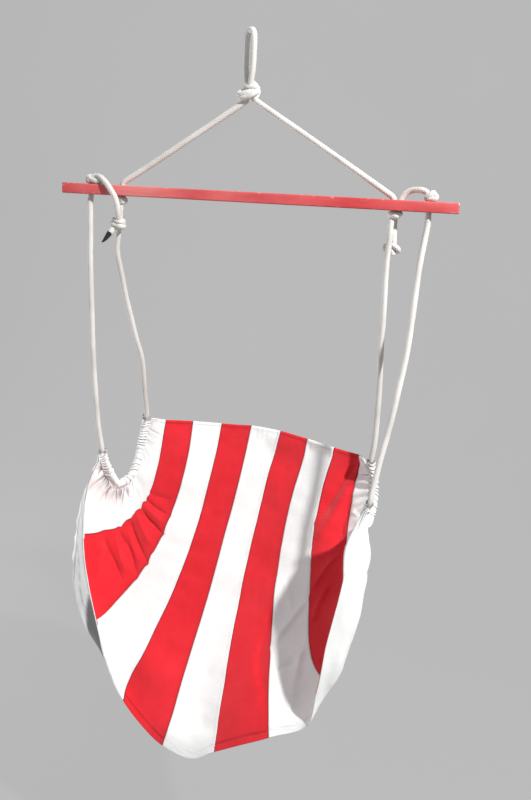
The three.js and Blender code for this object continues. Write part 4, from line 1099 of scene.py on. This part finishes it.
def stitches(name, lines, mat, pitch=3.4, length=2.6, thick=0.34):
    """Rows of thread: short rounded stitches lying on the cloth. lines are (points, normals) in millimetres."""
    v, q = [], []
    base = 0
    for pts, nrm in lines:
        s = np.concatenate([[0], np.cumsum(np.linalg.norm(np.diff(pts, axis=0), axis=1))])
        n = int(s[-1] / pitch)
        if n < 2:
            continue
        mid = (np.arange(n) + 0.5) * s[-1] / n
        rings = np.array([-0.5, -0.32, 0, 0.32, 0.5])
        fat = np.array([0.25, 0.9, 1.0, 0.9, 0.25])
        sink = np.array([-0.35, 0.05, 0.16, 0.05, -0.35])
        at = (mid[:, None] + rings[None, :] * length).ravel()
        p = np.stack([np.interp(at, s, pts[:, k]) for k in range(3)], 1).reshape(n, 5, 3)
        nn = unit(np.stack([np.interp(at, s, nrm[:, k]) for k in range(3)], 1)).reshape(n, 5, 3)
        t = unit(np.gradient(p, axis=1))
        b = unit(np.cross(t, nn))
        p = p + nn * (sink[None, :] + thick * 0.4)[..., None]
        ang = np.arange(6) * np.pi / 3
        ring = (
            p[:, :, None, :]
            + (np.cos(ang)[None, None, :] * thick * fat[None, :, None])[..., None] * b[:, :, None, :]
            + (np.sin(ang)[None, None, :] * thick * fat[None, :, None])[..., None] * nn[:, :, None, :]
        )
        v.append(ring.reshape(-1, 3))
        one = []
        for i in range(4):
            for j in range(6):
                one.append((i * 6 + j, i * 6 + (j + 1) % 6, (i + 1) * 6 + (j + 1) % 6, (i + 1) * 6 + j))
        one += [(0, 3, 2, 1), (0, 5, 4, 3), (24, 25, 26, 27), (24, 27, 28, 29)]
        one = np.array(one)
        q.append((one[None] + (np.arange(n) * 30)[:, None, None]).reshape(-1, 4) + base)
        base += n * 30
    ob = mesh_object(name, np.concatenate(v) * MM, np.concatenate(q), [mat], uv=None)
    return ob


# ------------------------------------------------------------------ materials
def srgb(r, g, b):
    def f(c):
        c /= 255.0
        return c / 12.92 if c <= 0.04045 else ((c + 0.055) / 1.055) ** 2.4

    return (f(r), f(g), f(b), 1.0)


class Nodes:
    """A short hand for building node trees."""

    def __init__(self, name):
        self.mat = bpy.data.materials.new(name)
        self.mat.use_nodes = True
        self.t = self.mat.node_tree
        self.t.nodes.clear()
        self.out = self.t.nodes.new("ShaderNodeOutputMaterial")
        self.bsdf = self.t.nodes.new("ShaderNodeBsdfPrincipled")
        self.link(self.bsdf.outputs[0], self.out.inputs["Surface"])

    def link(self, a, b):
        self.t.links.new(a, b)

    def new(self, kind, **props):
        n = self.t.nodes.new(kind)
        for k, v in props.items():
            setattr(n, k, v)
        return n

    def put(self, socket, value):
        if hasattr(value, "is_linked") or isinstance(value, bpy.types.NodeSocket):
            self.link(value, socket)
        else:
            socket.default_value = value

    def math(self, op, a, b=0.0, c=None, clamp=False):
        n = self.new("ShaderNodeMath", operation=op, use_clamp=clamp)
        self.put(n.inputs[0], a)
        self.put(n.inputs[1], b)
        if c is not None:
            self.put(n.inputs[2], c)
        return n.outputs[0]

    def mix(self, fac, a, b, blend="MIX"):
        n = self.new("ShaderNodeMix", data_type="RGBA", blend_type=blend)
        self.put(n.inputs[0], fac)
        self.put(n.inputs[6], a)
        self.put(n.inputs[7], b)
        return n.outputs[2]

    def ramp(self, fac, stops):
        n = self.new("ShaderNodeValToRGB")
        e = n.color_ramp.elements
        while len(e) > 1:
            e.remove(e[-1])
        e[0].position, e[0].color = stops[0][0], stops[0][1]
        for p, c in stops[1:]:
            x = e.new(p)
            x.color = c
        self.put(n.inputs[0], fac)
        return n.outputs[0]

    def grey(self, fac, a, b, lo=0.0, hi=1.0):
        n = self.new("ShaderNodeMapRange", clamp=True)
        self.put(n.inputs[0], fac)
        for i, v in enumerate((lo, hi, a, b)):
            n.inputs[i + 1].default_value = v
        return n.outputs[0]

    def noise(self, vec, scale, detail=3.0, rough=0.5, distortion=0.0):
        n = self.new("ShaderNodeTexNoise")
        self.put(n.inputs["Vector"], vec)
        n.inputs["Scale"].default_value = scale
        n.inputs["Detail"].default_value = detail
        n.inputs["Roughness"].default_value = rough
        n.inputs["Distortion"].default_value = distortion
        return n.outputs[0]

    def split(self, vec):
        n = self.new("ShaderNodeSeparateXYZ")
        self.put(n.inputs[0], vec)
        return n.outputs

    def join(self, x=0.0, y=0.0, z=0.0):
        n = self.new("ShaderNodeCombineXYZ")
        for i, v in enumerate((x, y, z)):
            self.put(n.inputs[i], v)
        return n.outputs[0]

    def coord(self, which):
        if which == "UV":
            n = self.new("ShaderNodeUVMap", uv_map="UVMap")
            return n.outputs[0]
        return self.new("ShaderNodeTexCoord").outputs[which]

    def bump(self, height, strength, distance, normal=None):
        n = self.new("ShaderNodeBump")
        n.inputs["Strength"].default_value = strength
        n.inputs["Distance"].default_value = distance
        self.put(n.inputs["Height"], height)
        if normal is not None:
            self.put(n.inputs["Normal"], normal)
        return n.outputs[0]


def cloth_material(name, base, deep, light, thread=0.9, sheen=0.25, weave=0.0011, dirt=None):
    """Plain-weave cotton in metres of UV: warp and weft threads, slubs and uneven dye."""
    m = Nodes(name)
    uv = m.coord("UV")
    u, v, _ = m.split(uv)
    obj = m.coord("Object")
    wob = m.math("MULTIPLY", m.math("SUBTRACT", m.noise(uv, 90.0, 2.0), 0.5), 0.35)
    a = m.math("ADD", m.math("DIVIDE", u, weave), wob)
    b = m.math("ADD", m.math("DIVIDE", v, weave), wob)
    ca = m.math("COSINE", m.math("MULTIPLY", a, 2 * math.pi))
    cb = m.math("COSINE", m.math("MULTIPLY", b, 2 * math.pi))
    check = m.math("MULTIPLY", m.math("COSINE", m.math("MULTIPLY", a, math.pi)), m.math("COSINE", m.math("MULTIPLY", b, math.pi)))
    over = m.math("GREATER_THAN", check, 0.0)
    warp = m.math("MULTIPLY_ADD", ca, -0.5, 0.5)
    weft = m.math("MULTIPLY_ADD", cb, -0.5, 0.5)
    thr = m.math("ADD", m.math("MULTIPLY", over, warp), m.math("MULTIPLY", m.math("SUBTRACT", 1.0, over), weft))
    slub_u = m.noise(m.join(m.math("MULTIPLY", u, 900.0), m.math("MULTIPLY", v, 26.0), 0.0), 1.0, 2.0)
    slub_v = m.noise(m.join(m.math("MULTIPLY", u, 26.0), m.math("MULTIPLY", v, 900.0), 4.0), 1.0, 2.0)
    slub = m.math("ADD", slub_u, slub_v)
    blotch = m.noise(obj, 5.5, 4.0, 0.6)
    fine = m.noise(obj, 38.0, 3.0, 0.6)
    tone = m.math("ADD", m.math("MULTIPLY", blotch, 0.65), m.math("MULTIPLY", fine, 0.35))
    col = m.ramp(tone, [(0.30, deep), (0.52, base), (0.74, light)])
    dark = m.grey(thr, thread, 1.0)
    col = m.mix(1.0, col, m.join(dark, dark, dark), "MULTIPLY")
    s = m.grey(slub, 0.955, 1.03, 0.75, 1.25)
    col = m.mix(1.0, col, m.join(s, s, s), "MULTIPLY")
    if dirt is not None:
        d = m.grey(m.noise(obj, 3.1, 5.0, 0.65, 0.6), 0.0, 0.35, 0.56, 0.78)
        col = m.mix(d, col, dirt)
    # painted shade: the colour is darkened where the fold attribute marks folds, hollows, seam grooves and stitch lines
    painted_shade_depth = m.new("ShaderNodeAttribute", attribute_name="fold", attribute_type="GEOMETRY").outputs["Fac"]
    inside = m.grey(m.math("POWER", painted_shade_depth, 0.8), 1.0, 0.10)
    col = m.mix(1.0, col, m.join(inside, inside, inside), "MULTIPLY")
    m.put(m.bsdf.inputs["Base Color"], col)
    m.put(m.bsdf.inputs["Roughness"], m.grey(slub, 0.78, 0.94, 0.7, 1.3))
    m.bsdf.inputs["Specular IOR Level"].default_value = 0.22
    m.bsdf.inputs["Sheen Weight"].default_value = sheen
    m.bsdf.inputs["Sheen Roughness"].default_value = 0.5
    crumple = m.noise(obj, 75.0, 3.0, 0.55)
    h1 = m.bump(crumple, 0.22, 0.0012)
    h2 = m.bump(m.math("ADD", thr, m.math("MULTIPLY", slub, 0.35)), 0.35, 0.00022, h1)
    m.put(m.bsdf.inputs["Normal"], h2)
    return m.mat


def rope_material(name):
    m = Nodes(name)
    uv = m.coord("UV")
    a, b, _ = m.split(uv)
    obj = m.coord("Object")
    p, q = m.math("ADD", a, b), m.math("SUBTRACT", a, b)
    fp, fq = m.math("FRACT", p), m.math("FRACT", q)
    par = m.math("FLOORED_MODULO", m.math("ADD", m.math("FLOOR", p), m.math("FLOOR", q)), 2.0)
    top = m.math("LESS_THAN", par, 0.5)
    # across the strand on top: its yarns run along it
    across = m.math("ADD", m.math("MULTIPLY", top, fq), m.math("MULTIPLY", m.math("SUBTRACT", 1.0, top), fp))
    gap = m.math("ABSOLUTE", m.math("SUBTRACT", across, 0.5))
    edge = m.grey(gap, 0.0, 1.0, 0.30, 0.5)
    yarn = m.math("COSINE", m.math("MULTIPLY", across, 2 * math.pi * 4))
    fuzz = m.noise(obj, 900.0, 2.0)
    tone = m.noise(obj, 14.0, 4.0, 0.6)
    col = m.ramp(tone, [(0.3, srgb(198, 194, 188)), (0.5, srgb(214, 211, 207)), (0.72, srgb(226, 224, 221))])
    long = m.noise(obj, 3.2, 3.0, 0.5)
    col = m.mix(m.grey(long, 0.0, 0.35, 0.5, 0.75), col, srgb(210, 202, 195))
    shade = m.grey(edge, 1.0, 0.66)
    col = m.mix(1.0, col, m.join(shade, shade, shade), "MULTIPLY")
    ys = m.grey(yarn, 0.95, 1.0, -1.0, 1.0)
    col = m.mix(1.0, col, m.join(ys, ys, ys), "MULTIPLY")
    m.put(m.bsdf.inputs["Base Color"], col)
    m.put(m.bsdf.inputs["Roughness"], m.grey(fuzz, 0.55, 0.85, 0.3, 0.7))
    m.bsdf.inputs["Specular IOR Level"].default_value = 0.35
    m.bsdf.inputs["Sheen Weight"].default_value = 0.2
    m.bsdf.inputs["Sheen Roughness"].default_value = 0.4
    h = m.math("ADD", m.math("MULTIPLY", yarn, 0.25), m.math("MULTIPLY", fuzz, 0.6))
    m.put(m.bsdf.inputs["Normal"], m.bump(h, 0.5, 0.00025))
    return m.mat


def paint_material(name):
    """Red paint brushed on a wooden bar: grain showing through, faded and worn places, painted shade along the lower
    edge.
    """
    m = Nodes(name)
    obj = m.coord("Object")
    x, y, z = m.split(obj)
    long = m.join(m.math("MULTIPLY", x, 9.0), m.math("MULTIPLY", y, 190.0), m.math("MULTIPLY", z, 190.0))
    grain = m.noise(long, 1.0, 4.0, 0.6, 0.35)
    brush = m.noise(m.join(m.math("MULTIPLY", x, 30.0), m.math("MULTIPLY", y, 700.0), m.math("MULTIPLY", z, 700.0)), 1.0, 2.0)
    patch = m.noise(m.join(m.math("MULTIPLY", x, 6.0), m.math("MULTIPLY", y, 12.0), m.math("MULTIPLY", z, 12.0)), 1.0, 3.0, 0.55)
    col = m.ramp(patch, [(0.28, srgb(191, 66, 69)), (0.5, srgb(205, 88, 89)), (0.72, srgb(214, 108, 107))])
    # a faded length left of the middle, a deeper one right of it
    faded = m.math("MULTIPLY", m.grey(m.math("ABSOLUTE", m.math("ADD", x, 0.215)), 1.0, 0.0, 0.01, 0.11), m.grey(grain, 0.35, 0.8, 0.3, 0.7))
    col = m.mix(faded, col, srgb(222, 132, 128))
    deep = m.grey(m.math("ABSOLUTE", m.math("SUBTRACT", x, 0.245)), 0.75, 0.0, 0.0, 0.14)
    col = m.mix(deep, col, srgb(193, 56, 60))
    gr = m.grey(grain, 0.88, 1.05, 0.3, 0.7)
    col = m.mix(1.0, col, m.join(gr, gr, gr), "MULTIPLY")
    # worn through to primer where the rope rubs and on the corners
    geo = m.new("ShaderNodeNewGeometry")
    edge = m.grey(geo.outputs["Pointiness"], 0.0, 1.0, 0.505, 0.54)
    chips = m.grey(m.noise(obj, 120.0, 4.0, 0.65), 0.0, 1.0, 0.60, 0.66)
    wear = m.math("MULTIPLY", edge, chips)
    col = m.mix(wear, col, srgb(214, 176, 158))
    # painted shade: a dark red band along the bar's lower edge
    low = m.grey(z, 1.0, 0.0, -0.3312, -0.3285)
    col = m.mix(m.math("MULTIPLY", low, 0.55), col, srgb(126, 34, 40))
    m.put(m.bsdf.inputs["Base Color"], col)
    m.put(m.bsdf.inputs["Roughness"], m.grey(patch, 0.34, 0.55, 0.3, 0.7))
    m.bsdf.inputs["Specular IOR Level"].default_value = 0.45
    m.bsdf.inputs["Coat Weight"].default_value = 0.08
    m.bsdf.inputs["Coat Roughness"].default_value = 0.35
    h = m.math("ADD", m.math("MULTIPLY", grain, 0.7), m.math("MULTIPLY", brush, 0.3))
    m.put(m.bsdf.inputs["Normal"], m.bump(h, 0.35, 0.00035))
    return m.mat


def tape_material(name):
    m = Nodes(name)
    uv = m.coord("UV")
    obj = m.coord("Object")
    n1 = m.noise(obj, 420.0, 3.0, 0.6)
    dust = m.noise(obj, 160.0, 4.0, 0.7)
    col = m.ramp(dust, [(0.42, srgb(20, 20, 22)), (0.6, srgb(34, 34, 36)), (0.74, srgb(92, 90, 88))])
    m.put(m.bsdf.inputs["Base Color"], col)
    m.put(m.bsdf.inputs["Roughness"], m.grey(n1, 0.18, 0.42, 0.3, 0.7))
    m.bsdf.inputs["Specular IOR Level"].default_value = 0.6
    m.put(m.bsdf.inputs["Normal"], m.bump(n1, 0.4, 0.0006))
    return m.mat


def make_materials():
    white = cloth_material("white_cotton", srgb(246, 246, 245), srgb(240, 240, 240), srgb(250, 250, 249), thread=0.93, sheen=0.12)
    red = cloth_material("red_cotton", srgb(226, 35, 47), srgb(214, 25, 37), srgb(232, 44, 56), thread=0.86, sheen=0.28)
    lining = cloth_material("lining_cotton", srgb(248, 248, 247), srgb(242, 242, 241), srgb(252, 252, 251), thread=0.9, sheen=0.1, dirt=srgb(216, 212, 204))
    thread_w = cloth_material("thread_white", srgb(232, 230, 226), srgb(222, 220, 215), srgb(240, 238, 234), thread=0.8, weave=0.0006)
    thread_r = cloth_material("thread_red", srgb(206, 26, 38), srgb(190, 18, 30), srgb(216, 36, 46), thread=0.8, weave=0.0006)
    return {
        "white": white,
        "red": red,
        "lining": lining,
        "thread_white": thread_w,
        "thread_red": thread_r,
        "rope": rope_material("braided_cotton"),
        "paint": paint_material("brushed_red_paint"),
        "tape": tape_material("black_tape"),
    }


# ------------------------------------------------------------------ spreader bar
def make_bar(mat):
    """A planed bar with its edges and ends eased, four holes through it."""
    L, D, H = BAR_L / 2, BAR_D / 2, BAR_H / 2
    bm = bmesh.new()
    n_len, r, seg = 84, 2.6, 5
    prof = []
    for cy, cz, a0 in ((D - r, H - r, 0), (-D + r, H - r, 90), (-D + r, -H + r, 180), (D - r, -H + r, 270)):
        for i in range(seg + 1):
            a = math.radians(a0 + 90 * i / seg)
            prof.append((cy + r * math.cos(a), cz + r * math.sin(a)))
    dense = []
    for i, (y, z) in enumerate(prof):
        y2, z2 = prof[(i + 1) % len(prof)]
        dist = math.hypot(y2 - y, z2 - z)
        k = max(1, int(dist / 5))
        for j in range(k):
            dense.append((y + (y2 - y) * j / k, z + (z2 - z) * j / k))
    dense = np.array(dense)
    ends = [(-L, 2.4), (-L + 0.25, 1.5), (-L + 0.8, 0.7), (-L + 1.6, 0.2), (-L + 2.6, 0.0)]
    xs = [(-L, 3.2)] + ends[1:] + [(x, 0.0) for x in np.linspace(-L + 6, L - 6, n_len)] + [(-x, i) for x, i in ends[::-1][:-1]] + [(L, 3.2)]
    rings = []
    for x, inset in xs:
        sy, sz = (D - inset) / D, (H - inset) / H
        wave = 0.10 * math.sin(x / 63.0 + 1) + 0.06 * math.sin(x / 23.0)
        rings.append([bm.verts.new(((BAR_X + x) * MM, y * sy * MM, (BAR_Z + z * sz + wave * (1 if z > 0 else -1) * 0.5) * MM)) for y, z in dense])
    for a, b in zip(rings[:-1], rings[1:]):
        for j in range(len(dense)):
            bm.faces.new((a[j], a[(j + 1) % len(dense)], b[(j + 1) % len(dense)], b[j]))
    bm.faces.new(rings[0][::-1])
    bm.faces.new(rings[-1])
    bmesh.ops.recalc_face_normals(bm, faces=bm.faces)
    me = bpy.data.meshes.new("spreader_bar_wood")
    bm.to_mesh(me)
    bm.free()
    ob = bpy.data.objects.new("spreader_bar_wood", me)
    COLL.objects.link(ob)
    # holes, with their mouths eased
    cutter_bm = bmesh.new()
    for off in (-360, -290, 290, 360):
        rings = []
        for z, rr in ((16, 8.6), (11.2, 8.6), (10.3, 7.55), (9.0, 7.05), (-9.0, 7.05), (-10.3, 7.55), (-11.2, 8.6), (-16, 8.6)):
            rings.append([cutter_bm.verts.new(((BAR_X + off + rr * math.cos(2 * math.pi * j / 32)) * MM, rr * math.sin(2 * math.pi * j / 32) * MM, (BAR_Z + z) * MM)) for j in range(32)])
        for a, b in zip(rings[:-1], rings[1:]):
            for j in range(32):
                cutter_bm.faces.new((a[j], b[j], b[(j + 1) % 32], a[(j + 1) % 32]))
        cutter_bm.faces.new(rings[0])
        cutter_bm.faces.new(rings[-1][::-1])
    bmesh.ops.recalc_face_normals(cutter_bm, faces=cutter_bm.faces)
    cm = bpy.data.meshes.new("hole_cutter")
    cutter_bm.to_mesh(cm)
    cutter_bm.free()
    cutter = bpy.data.objects.new("hole_cutter", cm)
    COLL.objects.link(cutter)
    mod = ob.modifiers.new("holes", "BOOLEAN")
    mod.operation, mod.object, mod.solver = "DIFFERENCE", cutter, "EXACT"
    dg = bpy.context.evaluated_depsgraph_get()
    done = bpy.data.meshes.new_from_object(ob.evaluated_get(dg))
    ob.modifiers.clear()
    ob.data = done
    bpy.data.objects.remove(cutter)
    done.materials.clear()
    done.materials.append(mat)
    done.polygons.foreach_set("use_smooth", np.ones(len(done.polygons), bool))
    try:
        done.set_sharp_from_angle(angle=math.radians(34))
    except AttributeError:
        pass
    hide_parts("spreader_bar")
    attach(ob, "bar")
    return ob


# ------------------------------------------------------------------ build
mats = make_materials()
build_ropes(mats)
make_bar(mats["paint"])

seat = Seat()
made, fine, nrm, across, lv_fine, rows_fine = make_stripes(seat, mats)


for ob, node, s, pos, nn, w, wide, here, total, where in made:
    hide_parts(node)
    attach(ob, "seat")

lining = make_lining(seat, mats)
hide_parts("outer_lining")
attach(lining, "seat")

for side in (-1, 1):
    ob, node, total = make_casing(seat, side, mats)
    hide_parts(node)
    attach(ob, "seat")

# rows of thread: each seam's second row, both hems and the casings
for ob, node, s, pos, nn, w, wide, here, total, where in made:
    if s < 8:
        j = np.abs(w - (wide[None, :] - (LAP - 1.2))).argmin(0)
        r = np.arange(pos.shape[1])
        line, up = pos[j, r] + nn[j, r] * 0.55, nn[j, r]
        keep = (here[j, r] > 4) & (total[j, r] - here[j, r] > 4)
        colour = "white" if s % 2 == 0 else "red"
        t = stitches(f"seam_thread_{s + 1}", [(line[keep], up[keep])], mats["thread_" + colour])
        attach(t, "seat")
for colour, odd in (("white", 0), ("red", 1)):
    lines = []
    for ob, node, s, pos, nn, w, wide, here, total, where in made:
        if s % 2 != odd:
            continue
        for away in ("rear", "front"):
            d = here if away == "rear" else total - here
            aim = (HEM_REAR if away == "rear" else HEM_FRONT) - 2.0
            m = pos.shape[0]
            pts, nr = [], []
            for i in range(m):
                order = np.argsort(d[i])
                k = np.interp(aim, d[i][order], order.astype(float))
                k0 = int(min(max(math.floor(k), 0), pos.shape[1] - 2))
                f = k - k0
                pts.append(pos[i, k0] * (1 - f) + pos[i, k0 + 1] * f)
                nr.append(nn[i, k0] * (1 - f) + nn[i, k0 + 1] * f)
            nr = unit(np.array(nr))
            lines.append((np.array(pts) + nr * 0.95, nr))
    t = stitches("hem_thread_" + colour, lines, mats["thread_" + colour])
    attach(t, "seat")
for side, tag in ((-1, "left"), (1, "right")):
    ob, node, s, pos, nn, w, wide, here, total, where = made[0] if side < 0 else made[8]
    d = w if side < 0 else wide[None, :] - w
    j = np.abs(d - 5.0).argmin(0)
    r = np.arange(pos.shape[1])
    line, up = pos[j, r] + nn[j, r] * 0.55, nn[j, r]
    t = stitches("casing_thread_" + tag, [(line[3:-3], up[3:-3])], mats["thread_white"])
    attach(t, "seat")


# ------------------------------------------------------------------ stage and light
def make_stage():
    m = Nodes("studio_paper")
    obj = m.coord("Object")
    n = m.noise(obj, 1.2, 3.0)
    m.put(m.bsdf.inputs["Base Color"], m.ramp(n, [(0.3, srgb(62, 62, 62)), (0.7, srgb(66, 66, 66))]))
    m.bsdf.inputs["Emission Color"].default_value = (1.0, 1.0, 1.0, 1.0)
    m.bsdf.inputs["Emission Strength"].default_value = 0.437
    m.bsdf.inputs["Roughness"].default_value = 1.0
    m.bsdf.inputs["Specular IOR Level"].default_value = 0.0
    prof = [(-4.5, -2.05), (0.9, -2.05)]
    for i in range(25):
        a = math.radians(90 * i / 24)
        prof.append((1.4 + 1.8 * math.sin(a), -0.25 - 1.8 * math.cos(a)))
    prof += [(3.2, 3.2), (3.2, 5.5)]
    xs = (-7.0, 7.0)
    v = [(x, y, z) for x in xs for y, z in prof]
    k = len(prof)
    f = [(i, i + 1, k + i + 1, k + i) for i in range(k - 1)]
    ob = mesh_object("studio_sweep", v, np.array(f), [m.mat])


def light(name, place, target, size, power, colour=(1, 1, 1)):
    data = bpy.data.lights.new(name, "AREA")
    data.shape, data.size, data.energy, data.color = "DISK", size, power, colour
    ob = bpy.data.objects.new(name, data)
    COLL.objects.link(ob)
    ob.location = place
    ob.rotation_euler = (Vector(target) - Vector(place)).to_track_quat("-Z", "Y").to_euler()
    return ob


make_stage()
light("key", (1.925, -1.644, 1.446), (0.0, 0.0, -1.0), 0.16, 155.0, (1.0, 0.995, 0.985))
light("fill", (-2.9, -1.5, -0.5), (0.0, 0.0, -1.0), 2.4, 14.0, (0.985, 0.99, 1.0))
for soft in (
    light("rim", (-2.7, 0.9, -1.6), (-0.2, 0.0, -1.0), 1.2, 80.0),
    light("low", (2.6, 0.7, -2.1), (0.2, 0.0, -1.2), 1.2, 6.0),
):
    soft.visible_glossy = False  # no mirror image of the side lights in the bar's paint
light("top", (0.0, 0.6, 3.0), (0.0, 0.3, -1.0), 2.6, 26.0)
world = bpy.data.worlds.new("pale_world")
world.use_nodes = True
world.node_tree.nodes["Background"].inputs[0].default_value = (0.9, 0.92, 0.95, 1)
world.node_tree.nodes["Background"].inputs[1].default_value = 0.31
bpy.context.scene.world = world
bpy.context.scene.view_settings.view_transform = "Standard"
